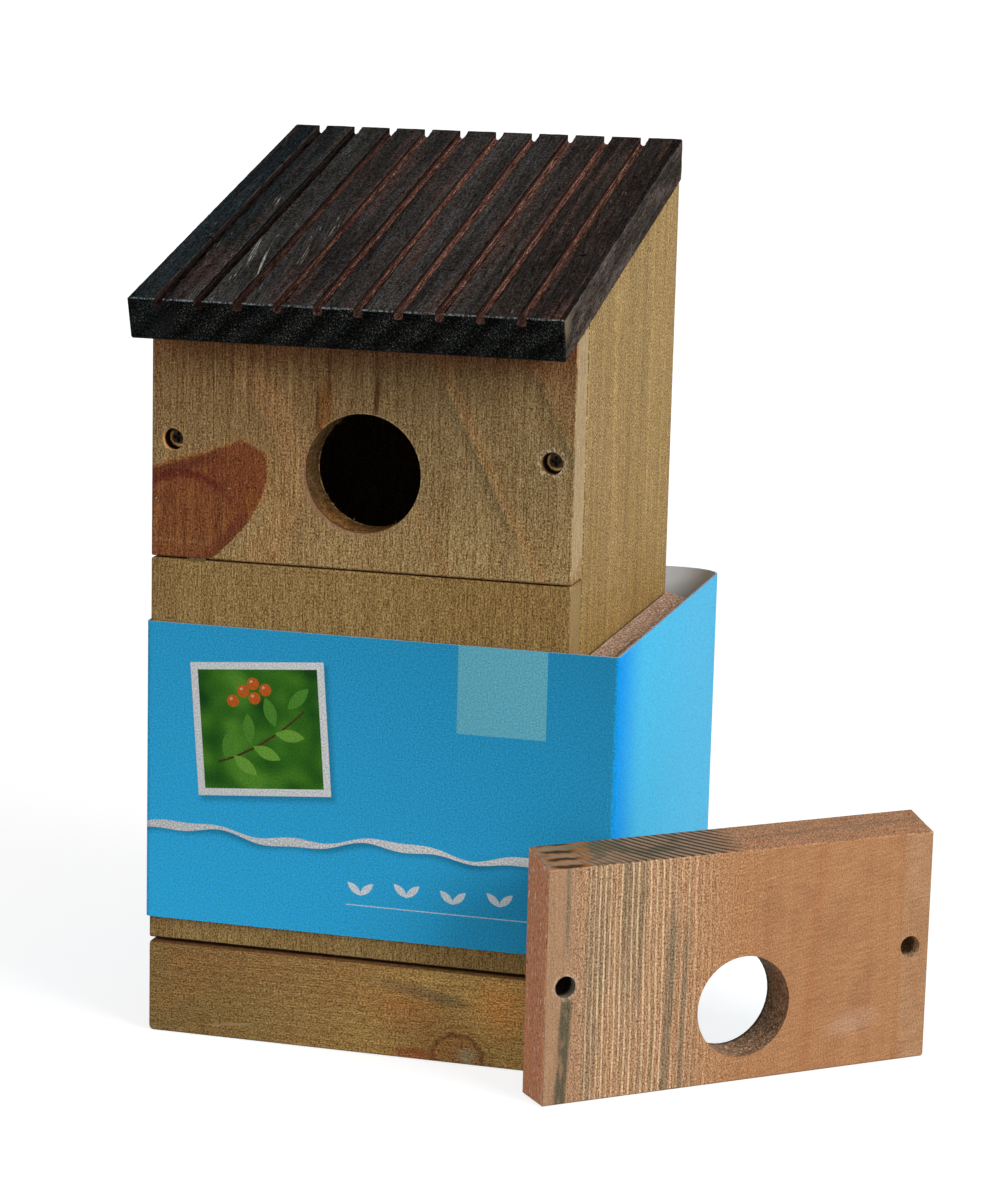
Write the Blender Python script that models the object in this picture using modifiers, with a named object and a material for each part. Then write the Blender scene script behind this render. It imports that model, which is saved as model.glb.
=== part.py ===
"""Bird nest box with changeable entrance plates, in a card sleeve.

Metres, +Z up. The front faces -Y. The origin is the middle of the underside.
The box is a rail, a fixed panel and a screwed entrance plate in front, two side
panels, a back panel and a floor board between them, under one grooved, sloping
roof board. Two spare plates with smaller holes go with it: one stands beside the
box, the other is held against the right side by the card sleeve. Each of the
plate's screws backs out along its own axis, which its origin lies on.
"""
import math

import bmesh
import bpy
from mathutils import Matrix, Vector

for old in list(bpy.data.objects):
    bpy.data.objects.remove(old, do_unlink=True)

# Box
BOX_WIDTH = 0.117
BOX_DEPTH = 0.120
BOARD = 0.012
FRONT_HEIGHT = 0.1985
JOINT_GAP = 0.0003
ARRIS = 0.0004
ARRIS_STEPS = 2

# Front boards
RAIL_HEIGHT = 0.026
RAIL_CORNER = 0.0013
RAIL_CORNER_STEPS = 4
RAIL_SEAM = 0.0008
PLATE_SEAM = 0.0005

# Entrance plates, their top edges sawn to the roof's slope
PLATE_HEIGHT = 0.064
PLATE_ROOF_GAP = 0.0005
HOLE_SIDES = 48
HOLE_ASIDE = 0.001
ENTRANCE_DIAMETER = 0.032
ENTRANCE_HEIGHT = 0.026
SPARE_DIAMETER = 0.028
SPARE_HOLE_HEIGHT = 0.0207
SMALL_SPARE_DIAMETER = 0.025
SMALL_SPARE_HOLE_HEIGHT = 0.0235

# Screws of the entrance plate
SCREW_INSET = 0.006
SCREW_HEIGHT = 0.032
COUNTERBORE_DIAMETER = 0.006
COUNTERBORE_DEPTH = 0.0065
SCREW_HEAD_DIAMETER = 0.0054
SCREW_HEAD_RIM = 0.0004
SCREW_HEAD_HEIGHT = 0.0019
SCREW_SHANK_DIAMETER = 0.003
SCREW_LENGTH = 0.025
SCREW_POINT = 0.005
SCREW_PLAY = 0.0003
SCREW_SIDES = 24
RECESS_WIDTH = 0.0028
RECESS_BLADE = 0.0007
RECESS_DEPTH = 0.0012

# Roof
ROOF_THICKNESS = 0.0115
ROOF_SLOPE = math.radians(16)
ROOF_FRONT_OVERHANG = 0.0145
ROOF_SIDE_OVERHANG = 0.0005
GROOVE_COUNT = 10
GROOVE_PITCH = 0.0109
GROOVE_WIDTH = 0.0024
GROOVE_DEPTH = 0.0023
GROOVE_ROUND = 0.0005
FIRST_GROOVE = 0.0087

# Floor
DRAIN_DIAMETER = 0.005
DRAIN_INSET = 0.015
DRAIN_SIDES = 20

# Hanging slot in the back panel
SLOT_HEAD_DIAMETER = 0.009
SLOT_NECK_WIDTH = 0.0045
SLOT_RISE = 0.009
SLOT_BELOW_ROOF = 0.034
SLOT_ARC_STEPS = 14

# Brads
BRAD_LENGTH = 0.025
BRAD_DIAMETER = 0.0012
BRAD_HEAD_DIAMETER = 0.0018
BRAD_HEAD_HEIGHT = 0.0007
BRAD_POINT = 0.0015
BRAD_SINK = 0.0008
BRAD_PLAY = 0.0002
BRAD_SIDES = 12
BRAD_FROM_BOARD_END = 0.024
BRAD_FROM_END_FACE = 0.030

# Card sleeve, and the small spare plate in it
SLEEVE_FOOT = 0.033
SLEEVE_HEIGHT = 0.083
SLEEVE_CARD = 0.0006
SLEEVE_PLAY = 0.0003
SLEEVE_FOLD = 0.0008
SLEEVE_FOLD_STEPS = 3
SLEEVE_FOLD_ANGLE = math.radians(60)
SLEEVE_REAR_SLACK = 0.009
SLEEVE_BULGE = 0.0072
BULGE_PEAK_SHARE = 0.085
BULGE_END_SHARE = 0.52
BULGE_STEPS = 14
SMALL_SPARE_GAP = 0.0009
SMALL_SPARE_DROP = 0.0074

# Spare plate that stands by itself, its back just off the sleeve's front right fold
SPARE_TURN = math.radians(40)
SPARE_PAST_FOLD = 0.0247
SPARE_CLEARANCE = 0.0005

# How far a cut runs past the surface that it opens
OVERRUN = 0.004

HALF_WIDTH = BOX_WIDTH / 2
HALF_DEPTH = BOX_DEPTH / 2
INNER_HALF_WIDTH = HALF_WIDTH - BOARD
SIDE_MIDDLE = HALF_WIDTH - BOARD / 2
FRONT = -HALF_DEPTH
BACK = HALF_DEPTH
PLATE_FOOT = FRONT_HEIGHT - PLATE_ROOF_GAP - PLATE_HEIGHT

parts = bpy.data.collections.new("bird_nest_box")
cutters = bpy.data.collections.new("cutters")
bpy.context.scene.collection.children.link(parts)
bpy.context.scene.collection.children.link(cutters)


def material(name, colour, roughness, metallic=0.0):
    made = bpy.data.materials.new(name)
    made.use_nodes = True
    shader = made.node_tree.nodes["Principled BSDF"]
    shader.inputs["Base Color"].default_value = (*colour, 1.0)
    shader.inputs["Roughness"].default_value = roughness
    shader.inputs["Metallic"].default_value = metallic
    return made


def empty(name, location, rotation=(0.0, 0.0, 0.0)):
    """A frame that the pieces of one body, or of one tilted board, are set in."""
    frame = bpy.data.objects.new(name, None)
    frame.location = location
    frame.rotation_euler = rotation
    parts.objects.link(frame)
    return frame


def add_object(name, mesh, collection, parent=None):
    made = bpy.data.objects.new(name, mesh)
    made.parent = parent
    collection.objects.link(made)
    if collection is cutters:
        made.hide_render = True
        made.display_type = "WIRE"
    return made


def block_mesh(name, size):
    shape = bmesh.new()
    bmesh.ops.create_cube(shape, size=1.0)
    bmesh.ops.scale(shape, vec=size, verts=shape.verts)
    mesh = bpy.data.meshes.new(name)
    shape.to_mesh(mesh)
    shape.free()
    return mesh


def ease_edges(piece, width=ARRIS):
    """Take the arrises off a sawn board."""
    bevel = piece.modifiers.new("arris", "BEVEL")
    bevel.width = width
    bevel.segments = ARRIS_STEPS
    bevel.limit_method = "ANGLE"


def board(name, low, high, finish, parent=None, saw_cuts=()):
    """A planed board between two opposite corners, sawn before its arrises come off."""
    low, high = Vector(low), Vector(high)
    piece = add_object(name, block_mesh(name, high - low), parts, parent)
    piece.location = (low + high) / 2
    piece.data.materials.append(finish)
    cut(piece, *saw_cuts)
    ease_edges(piece)
    return piece


def block_cutter(name, low, high, parent=None):
    low, high = Vector(low), Vector(high)
    cutter = add_object(name, block_mesh(name, high - low), cutters, parent)
    cutter.location = (low + high) / 2
    return cutter


def cylinder_cutter(name, diameter, length, sides, centre, axis, parent=None):
    shape = bmesh.new()
    bmesh.ops.create_cone(shape, cap_ends=True, segments=sides, radius1=diameter / 2,
                          radius2=diameter / 2, depth=length)
    mesh = bpy.data.meshes.new(name)
    shape.to_mesh(mesh)
    shape.free()
    cutter = add_object(name, mesh, cutters, parent)
    cutter.location = centre
    cutter.rotation_euler = Vector((0, 0, 1)).rotation_difference(Vector(axis)).to_euler()
    return cutter


def cut(piece, *tools):
    for tool in tools:
        boolean = piece.modifiers.new(tool.name, "BOOLEAN")
        boolean.operation = "DIFFERENCE"
        boolean.solver = "EXACT"
        boolean.object = tool


def turned(name, profile, sides, collection, parent=None):
    """Turn a profile of (radius, height) points, listed from its top down, about Z."""
    shape = bmesh.new()
    ring = [shape.verts.new((radius, 0.0, height)) for radius, height in profile]
    for upper, lower in zip(ring, ring[1:]):
        shape.edges.new((upper, lower))
    mesh = bpy.data.meshes.new(name)
    shape.to_mesh(mesh)
    shape.free()
    piece = add_object(name, mesh, collection, parent)
    screw = piece.modifiers.new("turn", "SCREW")
    screw.steps = sides
    screw.render_steps = sides
    screw.use_merge_vertices = True
    screw.merge_threshold = 0.00001
    screw.use_smooth_shade = False
    return piece


def aim(piece, start, direction):
    """Put a turned piece's origin at start, its axis running down along direction."""
    piece.location = start
    piece.rotation_euler = Vector((0, 0, -1)).rotation_difference(Vector(direction)).to_euler()


def brad_profile(play, above):
    """A headed pin, its head's top at height zero, or the pocket that it is driven into."""
    head = BRAD_HEAD_DIAMETER / 2 + play
    shank = BRAD_DIAMETER / 2 + play
    tip = -BRAD_LENGTH - play
    return [(0.0, above), (head, above), (head, -BRAD_HEAD_HEIGHT - play),
            (shank, -BRAD_HEAD_HEIGHT - play), (shank, tip + BRAD_POINT), (0.0, tip)]


def drive_brad(name, surface_point, direction, finish, boards):
    """Sink a brad into the surface at a point, with its pocket through the boards."""
    start = Vector(surface_point) + Vector(direction) * BRAD_SINK
    brad = turned(name, brad_profile(0.0, 0.0), BRAD_SIDES, parts)
    brad.data.materials.append(finish)
    aim(brad, start, direction)
    pocket = turned(name + "_pocket", brad_profile(BRAD_PLAY, BRAD_SINK + OVERRUN), BRAD_SIDES, cutters)
    aim(pocket, start, direction)
    for piece in boards:
        cut(piece, pocket)


def screw_hole_profile():
    """A counterbore from above the plate's face, a clearance hole and the pilot beyond it."""
    bore = COUNTERBORE_DIAMETER / 2
    shank = SCREW_SHANK_DIAMETER / 2 + SCREW_PLAY
    head_top = COUNTERBORE_DEPTH - SCREW_HEAD_HEIGHT
    tip = -head_top - SCREW_LENGTH - SCREW_PLAY
    seat = -COUNTERBORE_DEPTH - SCREW_PLAY
    return [(0.0, OVERRUN), (bore, OVERRUN), (bore, seat + bore - shank), (shank, seat),
            (shank, tip + SCREW_POINT), (0.0, tip)]


def screw_profile():
    """A countersunk wood screw, its head's top at height zero."""
    head = SCREW_HEAD_DIAMETER / 2
    shank = SCREW_SHANK_DIAMETER / 2
    return [(0.0, 0.0), (head, 0.0), (head, -SCREW_HEAD_RIM), (shank, -SCREW_HEAD_HEIGHT),
            (shank, SCREW_POINT - SCREW_LENGTH), (0.0, -SCREW_LENGTH)]


def screw_places():
    """Each end's name, and the screw's centre on the front face in its plate's frame."""
    across = HALF_WIDTH - SCREW_INSET
    return [("left", Vector((-across, -BOARD / 2, SCREW_HEIGHT))),
            ("right", Vector((across, -BOARD / 2, SCREW_HEIGHT)))]


def wood_screw(name, face_point, finish, parent):
    piece = turned(name, screw_profile(), SCREW_SIDES, parts, parent)
    piece.data.materials.append(finish)
    start = face_point + Vector((0.0, COUNTERBORE_DEPTH - SCREW_HEAD_HEIGHT, 0.0))
    aim(piece, start, (0, 1, 0))
    slots = (("across", RECESS_WIDTH, RECESS_BLADE), ("upright", RECESS_BLADE, RECESS_WIDTH))
    for label, wide, tall in slots:
        low = start + Vector((-wide / 2, -OVERRUN, -tall / 2))
        high = start + Vector((wide / 2, RECESS_DEPTH, tall / 2))
        cut(piece, block_cutter(f"{name}_recess_{label}", low, high, parent))


def plate_top_cutter(name, frame):
    """The space above a plate, its underside rising to the rear at the roof's slope."""
    cutter = block_cutter(name, (-BOX_WIDTH, -BOX_WIDTH, 0.0), (BOX_WIDTH, BOX_WIDTH, BOX_WIDTH), frame)
    cutter.rotation_euler = (ROOF_SLOPE, 0.0, 0.0)
    front_edge = Vector((0.0, -BOARD / 2, PLATE_HEIGHT))
    cutter.location = front_edge + cutter.rotation_euler.to_matrix() @ cutter.location
    return cutter


def entrance_plate(name, frame, hole_diameter, hole_height, finish):
    """A plate set in its frame, front face towards -Y. Gives the cutters of its screw holes."""
    above = plate_top_cutter(name + "_top_cut", frame)
    plate = board(name, (-HALF_WIDTH, -BOARD / 2, 0.0), (HALF_WIDTH, BOARD / 2, PLATE_HEIGHT + BOARD),
                  finish, frame, (above,))
    cut(plate, cylinder_cutter(name + "_hole", hole_diameter, BOARD + OVERRUN, HOLE_SIDES,
                               (HOLE_ASIDE, 0.0, hole_height), (0, 1, 0), frame))
    holes = []
    for side, face_point in screw_places():
        hole = turned(f"{name}_{side}_screw_hole", screw_hole_profile(), SCREW_SIDES, cutters, frame)
        aim(hole, face_point, (0, 1, 0))
        cut(plate, hole)
        holes.append(hole)
    return holes


def roof_underside(y):
    return FRONT_HEIGHT + (y - FRONT) * math.tan(ROOF_SLOPE)


def roof_seat():
    """A frame on the front face's top edge, its XY plane on the roof's underside."""
    return empty("roof_seat", (0.0, FRONT, FRONT_HEIGHT), (ROOF_SLOPE, 0.0, 0.0))


def roof_board(seat, finish):
    """One sloping board: front end square, back end plumb, saw grooves down the slope."""
    half = HALF_WIDTH + ROOF_SIDE_OVERHANG
    nose = -ROOF_FRONT_OVERHANG / math.cos(ROOF_SLOPE)
    rear = (BOX_DEPTH + ROOF_THICKNESS) / math.cos(ROOF_SLOPE)
    wall = block_cutter("wall_space", (-BOX_WIDTH, BACK, 0.0),
                        (BOX_WIDTH, BACK + BOX_DEPTH, FRONT_HEIGHT + BOX_DEPTH))
    roof = board("roof_board", (-half, nose, 0.0), (half, rear, ROOF_THICKNESS), finish, seat, (wall,))
    cut(roof, groove_cutter(seat, half, nose - OVERRUN, rear + OVERRUN))
    return roof


def groove_cutter(seat, half, start, end):
    """All the grooves as separate bars in one cutter, their lower edges rounded."""
    shape = bmesh.new()
    tall = GROOVE_DEPTH + OVERRUN
    for number in range(GROOVE_COUNT):
        centre = Vector((FIRST_GROOVE + number * GROOVE_PITCH - half, (start + end) / 2,
                         ROOF_THICKNESS - GROOVE_DEPTH + tall / 2))
        made = bmesh.ops.create_cube(shape, size=1.0)
        bmesh.ops.scale(shape, vec=(GROOVE_WIDTH, end - start, tall), verts=made["verts"])
        bmesh.ops.translate(shape, vec=centre, verts=made["verts"])
    floor = ROOF_THICKNESS - GROOVE_DEPTH + tall / 2
    lower = [edge for edge in shape.edges
             if all(vert.co.z < floor for vert in edge.verts)
             and abs(edge.verts[0].co.x - edge.verts[1].co.x) < GROOVE_WIDTH / 2]
    bmesh.ops.bevel(shape, geom=lower, offset=GROOVE_ROUND, segments=ARRIS_STEPS, affect="EDGES", profile=0.5)
    mesh = bpy.data.meshes.new("grooves")
    shape.to_mesh(mesh)
    shape.free()
    return add_object("grooves", mesh, cutters, seat)


def above_roof_cutter(seat):
    """The space that the roof board takes, with the joint's gap under it."""
    reach = BOX_WIDTH + BOX_DEPTH
    return block_cutter("above_roof_seat", (-reach, -reach, -JOINT_GAP), (reach, reach, reach), seat)


def side_panels(slope_cut, finish):
    panels = {}
    for side, sign in (("left", -1), ("right", 1)):
        inner, outer = sorted((sign * INNER_HALF_WIDTH, sign * HALF_WIDTH))
        panels[side] = board(f"{side}_side_panel", (inner, FRONT + BOARD + JOINT_GAP, 0.0),
                             (outer, BACK, roof_underside(BACK) + OVERRUN), finish, saw_cuts=(slope_cut,))
    return panels


def keyhole_outline():
    """The hanging slot's outline about its head's centre: head arc, neck, neck's end arc."""
    head = SLOT_HEAD_DIAMETER / 2
    neck = SLOT_NECK_WIDTH / 2
    meet = math.asin(neck / head)
    points = []
    for step in range(SLOT_ARC_STEPS + 1):
        angle = math.pi / 2 + meet + (2 * math.pi - 2 * meet) * step / SLOT_ARC_STEPS
        points.append((head * math.cos(angle), head * math.sin(angle)))
    for step in range(SLOT_ARC_STEPS // 2 + 1):
        angle = math.pi * step / (SLOT_ARC_STEPS // 2)
        points.append((neck * math.cos(angle), SLOT_RISE + neck * math.sin(angle)))
    return points


def keyhole_cutter():
    """The hanging slot, right through the back panel."""
    shape = bmesh.new()
    start = BACK - BOARD - OVERRUN
    head_height = roof_underside(BACK) - SLOT_BELOW_ROOF
    ring = [shape.verts.new((x, start, head_height + z)) for x, z in keyhole_outline()]
    face = shape.faces.new(ring)
    grown = bmesh.ops.extrude_face_region(shape, geom=[face])
    moved = [item for item in grown["geom"] if isinstance(item, bmesh.types.BMVert)]
    bmesh.ops.translate(shape, vec=(0.0, BOARD + 2 * OVERRUN, 0.0), verts=moved)
    bmesh.ops.recalc_face_normals(shape, faces=shape.faces)
    mesh = bpy.data.meshes.new("hanging_slot")
    shape.to_mesh(mesh)
    shape.free()
    return add_object("hanging_slot", mesh, cutters)


def back_panel(slope_cut, finish):
    half = INNER_HALF_WIDTH - JOINT_GAP
    panel = board("back_panel", (-half, BACK - BOARD, 0.0),
                  (half, BACK, roof_underside(BACK) + OVERRUN), finish, saw_cuts=(slope_cut,))
    cut(panel, keyhole_cutter())
    return panel


def floor_board(finish):
    half = INNER_HALF_WIDTH - JOINT_GAP
    reach = HALF_DEPTH - BOARD - JOINT_GAP
    panel = board("floor_board", (-half, -reach, 0.0), (half, reach, BOARD), finish)
    for x in (-1, 1):
        for y in (-1, 1):
            centre = (x * (half - DRAIN_INSET), y * (reach - DRAIN_INSET), BOARD / 2)
            name = f"drain_{'left' if x < 0 else 'right'}_{'front' if y < 0 else 'back'}"
            cut(panel, cylinder_cutter(name, DRAIN_DIAMETER, BOARD + OVERRUN, DRAIN_SIDES, centre, (0, 0, 1)))
    return panel


def base_rail(finish):
    """The bottom front board, its ends' corners rounded as seen from the front."""
    rail = board("base_rail", (-HALF_WIDTH, FRONT, 0.0), (HALF_WIDTH, FRONT + BOARD, RAIL_HEIGHT), finish)
    shape = bmesh.new()
    shape.from_mesh(rail.data)
    corners = [edge for edge in shape.edges
               if abs(edge.verts[0].co.y - edge.verts[1].co.y) > BOARD / 2]
    bmesh.ops.bevel(shape, geom=corners, offset=RAIL_CORNER, segments=RAIL_CORNER_STEPS,
                    affect="EDGES", profile=0.5)
    shape.to_mesh(rail.data)
    shape.free()
    return rail


def middle_front_panel(finish):
    foot = RAIL_HEIGHT + RAIL_SEAM
    top = PLATE_FOOT - PLATE_SEAM
    return board("middle_front_panel", (-HALF_WIDTH, FRONT, foot), (HALF_WIDTH, FRONT + BOARD, top), finish)


def brad_all(panels, back, floor, middle, roof, finish):
    """Pin the middle panel, the floor, the back panel and the roof to the side panels."""
    slope = Matrix.Rotation(ROOF_SLOPE, 4, "X")
    into_roof = slope @ Vector((0, 0, -1))
    heights = (("low", RAIL_HEIGHT + RAIL_SEAM + BRAD_FROM_BOARD_END),
               ("high", PLATE_FOOT - PLATE_SEAM - BRAD_FROM_BOARD_END))
    reach = HALF_DEPTH - BRAD_FROM_END_FACE
    for side, sign in (("left", -1), ("right", 1)):
        panel = panels[side]
        inward = (-sign, 0, 0)
        for level, height in heights:
            drive_brad(f"middle_brad_{side}_{level}", (sign * SIDE_MIDDLE, FRONT, height), (0, 1, 0),
                       finish, (middle, panel))
            drive_brad(f"back_brad_{side}_{level}", (sign * HALF_WIDTH, BACK - BOARD / 2, height), inward,
                       finish, (panel, back))
        for end, depth in (("front", -reach), ("rear", reach)):
            drive_brad(f"floor_brad_{side}_{end}", (sign * HALF_WIDTH, depth, BOARD / 2), inward,
                       finish, (panel, floor))
            foot = Vector((sign * SIDE_MIDDLE, depth, roof_underside(depth)))
            drive_brad(f"roof_brad_{side}_{end}", foot - into_roof * ROOF_THICKNESS, into_roof,
                       finish, (roof, panel))


def sleeve_outline():
    """The sleeve's inner line in plan, anticlockwise from its front left fold.

    Its rear right fold clears whichever reaches further back, the box or the spare plate.
    """
    left = -HALF_WIDTH - SLEEVE_PLAY
    front = FRONT - SLEEVE_PLAY
    right = HALF_WIDTH + SMALL_SPARE_GAP + BOARD + SLEEVE_PLAY
    fold = max(BACK, FRONT + JOINT_GAP + BOX_WIDTH) + SLEEVE_REAR_SLACK
    rest = BACK + SLEEVE_PLAY
    width = right - left
    peak = Vector((right - BULGE_PEAK_SHARE * width, fold + SLEEVE_BULGE))
    landing = Vector((right - BULGE_END_SHARE * width, rest))
    points = [Vector((left, front)), Vector((right, front)), Vector((right, fold))]
    rise = BULGE_STEPS // 3
    for step in range(1, rise + 1):
        turn = math.pi / 2 * step / rise
        points.append(Vector((right + (peak.x - right) * (1 - math.cos(turn)),
                              fold + (peak.y - fold) * math.sin(turn))))
    for step in range(1, BULGE_STEPS + 1):
        share = step / BULGE_STEPS
        ease = (1 + math.cos(math.pi * share)) / 2
        points.append(Vector((peak.x + (landing.x - peak.x) * share,
                              landing.y + (peak.y - landing.y) * ease)))
    points.append(Vector((left, rest)))
    return points


def card_sleeve(finish):
    """A printed card band round the box and the small spare plate, open above and below."""
    shape = bmesh.new()
    low = [shape.verts.new((point.x, point.y, 0.0)) for point in sleeve_outline()]
    high = [shape.verts.new((point.x, point.y, SLEEVE_HEIGHT)) for point in sleeve_outline()]
    count = len(low)
    for index in range(count):
        after = (index + 1) % count
        shape.faces.new((low[index], low[after], high[after], high[index]))
    mesh = bpy.data.meshes.new("card_sleeve")
    shape.to_mesh(mesh)
    shape.free()
    sleeve = add_object("card_sleeve", mesh, parts)
    sleeve.location = (0.0, 0.0, SLEEVE_FOOT)
    sleeve.data.materials.append(finish)
    folds = sleeve.modifiers.new("folds", "BEVEL")
    folds.width = SLEEVE_FOLD
    folds.segments = SLEEVE_FOLD_STEPS
    folds.limit_method = "ANGLE"
    folds.angle_limit = SLEEVE_FOLD_ANGLE
    card = sleeve.modifiers.new("card", "SOLIDIFY")
    card.thickness = SLEEVE_CARD
    card.offset = 1.0
    card.use_even_offset = True
    return sleeve


def small_spare_frame():
    """Inside the sleeve, against the right side panel, its front face outwards."""
    across = HALF_WIDTH + SMALL_SPARE_GAP + BOARD / 2
    foot = SLEEVE_FOOT + SLEEVE_HEIGHT - SMALL_SPARE_DROP - PLATE_HEIGHT
    return empty("small_spare_slide", (across, FRONT + HALF_WIDTH + JOINT_GAP, foot), (0.0, 0.0, math.pi / 2))


def standing_spare_frame():
    """On the ground, with its back face just off the sleeve's front right fold."""
    fold_centre = Vector((HALF_WIDTH + SMALL_SPARE_GAP + BOARD + SLEEVE_PLAY - SLEEVE_FOLD,
                          FRONT - SLEEVE_PLAY + SLEEVE_FOLD, 0.0))
    to_fold_centre = BOARD / 2 + SPARE_CLEARANCE + SLEEVE_CARD + SLEEVE_FOLD
    turn = Matrix.Rotation(SPARE_TURN, 4, "Z")
    from_plate = Vector((SPARE_PAST_FOLD - HALF_WIDTH, to_fold_centre, 0.0))
    return empty("spare_plate_lift", fold_centre - turn @ from_plate, (0.0, 0.0, SPARE_TURN))


def smooth_round_pieces():
    for piece in parts.objects:
        if piece.type == "MESH" and "turn" in piece.modifiers:
            piece.data.shade_smooth()
            piece.data.set_sharp_from_angle(angle=math.radians(40))


def main():
    box_wood = material("tan_softwood", (0.36, 0.25, 0.12), 0.75)
    front_wood = material("greenish_softwood", (0.33, 0.24, 0.12), 0.75)
    spare_wood = material("orange_softwood", (0.45, 0.24, 0.12), 0.75)
    hidden_spare_wood = material("pink_tan_softwood", (0.42, 0.27, 0.18), 0.8)
    stained_wood = material("dark_stained_softwood", (0.035, 0.022, 0.018), 0.6)
    zinc = material("yellow_zinc", (0.75, 0.55, 0.22), 0.35, 1.0)
    steel = material("bright_steel", (0.45, 0.45, 0.45), 0.4, 1.0)
    card = material("blue_printed_card", (0.02, 0.25, 0.50), 0.45)

    seat = roof_seat()
    slope_cut = above_roof_cutter(seat)
    roof = roof_board(seat, stained_wood)
    panels = side_panels(slope_cut, box_wood)
    back = back_panel(slope_cut, box_wood)
    floor = floor_board(box_wood)
    base_rail(front_wood)
    middle = middle_front_panel(front_wood)
    brad_all(panels, back, floor, middle, roof, steel)

    plate_frame = empty("entrance_plate_slide", (0.0, FRONT + BOARD / 2, PLATE_FOOT))
    holes = entrance_plate("entrance_plate_32", plate_frame, ENTRANCE_DIAMETER, ENTRANCE_HEIGHT, front_wood)
    for (side, face_point), hole in zip(screw_places(), holes):
        wood_screw(f"plate_screw_{side}", face_point, zinc, plate_frame)
        cut(panels[side], hole)

    entrance_plate("spare_plate_28", standing_spare_frame(), SPARE_DIAMETER, SPARE_HOLE_HEIGHT, spare_wood)
    entrance_plate("spare_plate_25", small_spare_frame(), SMALL_SPARE_DIAMETER, SMALL_SPARE_HOLE_HEIGHT,
                   hidden_spare_wood)
    card_sleeve(card)
    smooth_round_pieces()
    bpy.context.view_layer.update()


main()
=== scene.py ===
"""Looks of the wooden bird nest box: wood, stain, card print, screws, camera and light."""
import math
import random

import bmesh
import bpy
from mathutils import Matrix, Vector, noise
from mathutils.geometry import intersect_point_line

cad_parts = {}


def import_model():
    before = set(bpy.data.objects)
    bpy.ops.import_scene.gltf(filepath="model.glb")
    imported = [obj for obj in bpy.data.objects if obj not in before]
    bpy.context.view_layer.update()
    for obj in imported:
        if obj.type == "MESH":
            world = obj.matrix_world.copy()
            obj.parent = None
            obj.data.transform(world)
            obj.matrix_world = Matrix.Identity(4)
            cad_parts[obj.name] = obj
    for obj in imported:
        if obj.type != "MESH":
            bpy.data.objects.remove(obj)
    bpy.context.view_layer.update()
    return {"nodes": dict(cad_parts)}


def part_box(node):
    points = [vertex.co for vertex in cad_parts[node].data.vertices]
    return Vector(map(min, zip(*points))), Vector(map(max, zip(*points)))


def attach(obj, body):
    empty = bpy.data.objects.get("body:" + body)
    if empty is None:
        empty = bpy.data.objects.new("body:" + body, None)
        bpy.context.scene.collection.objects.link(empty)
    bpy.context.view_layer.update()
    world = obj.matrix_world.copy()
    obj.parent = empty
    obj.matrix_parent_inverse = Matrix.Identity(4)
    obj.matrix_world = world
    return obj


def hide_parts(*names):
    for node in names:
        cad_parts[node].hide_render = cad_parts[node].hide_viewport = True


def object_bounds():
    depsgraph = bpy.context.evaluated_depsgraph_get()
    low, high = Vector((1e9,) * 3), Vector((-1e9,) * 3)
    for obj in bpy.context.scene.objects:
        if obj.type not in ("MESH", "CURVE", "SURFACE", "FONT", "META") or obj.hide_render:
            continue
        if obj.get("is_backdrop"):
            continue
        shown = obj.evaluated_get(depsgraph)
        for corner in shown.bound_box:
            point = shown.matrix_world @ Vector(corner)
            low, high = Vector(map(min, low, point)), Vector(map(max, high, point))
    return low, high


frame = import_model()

MM = 0.001
WHITE = (1.0, 1.0, 1.0)
ORIGIN = (0.0, 0.0, 0.0)

# Sizes that the frame's boxes don't give. Bores and holes are in millimetres from a plate's lower left
PLATE_TURN = math.radians(40)
ROOF_SLOPE = math.radians(16)
PLATE_HEIGHT_MM = 64.0
FRONT_WIDTH_MM = 117.0
FRONT_HEIGHT_MM = 198.5
PLATE_TOP_RISE = math.tan(ROOF_SLOPE)
LEFT_BORE = (6.0, 32.0)
RIGHT_BORE = (111.0, 32.0)
BORE_RADIUS = 3.0
BORE_SLACK_MM = 0.35
HOLE_PLACE = (59.5, 26.0)
HOLE_RADIUS = 16.0
SPARE_HOLE_PLACE = (59.5, 20.7)
SPARE_HOLE_RADIUS = 14.0

# Outside of the box, in metres
BOX_RIGHT = 0.0585
BOX_FRONT = -0.060
BACK_PANEL_FRONT = 0.048

# The roof: u across, s up the slope from the box's front, v out of the board
ROOF_WIDTH_MM = 118.0
ROOF_FRONT_MM = -15.0
GROOVE_PITCH_MM = 10.9
FIRST_GROOVE_MM = 8.7
GROOVE_WIDTH_MM = 2.4

# Wear of the boards' arrises
SHORTEST_WORN_MM = 5.0
WEAR_STEP_MM = 1.5
WORN_FACE_MM2 = 2.0
WEAR_RATE = 350.0
BRAD_CLEAR_MM = 2.0
WELD_MM = 0.001
SHARP_ARRIS = math.radians(30)

# Splinters and torn fibres
SLIVER_FLATNESS = 0.5
SEAM_FIBRES = 120
ENTRANCE_FIBRES = 90

# Smooth shading, in degrees, and how upright a normal is on the card's cut edges
SLEEVE_SMOOTH = 40
BOARD_SMOOTH = 17
CUT_EDGE_NORMAL = 0.7

# The row of printed leaf pairs
PRINTED_PAIRS = 5
FIRST_PAIR_MM = 62
PAIR_STEP_MM = 13

# Floor and surround
FLOOR_TONE = (0.42, 0.42, 0.42)
FLOOR_REACH = 30.0
FLOOR_DROP = 0.0002
SURROUND_STRENGTH = 0.16

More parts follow.
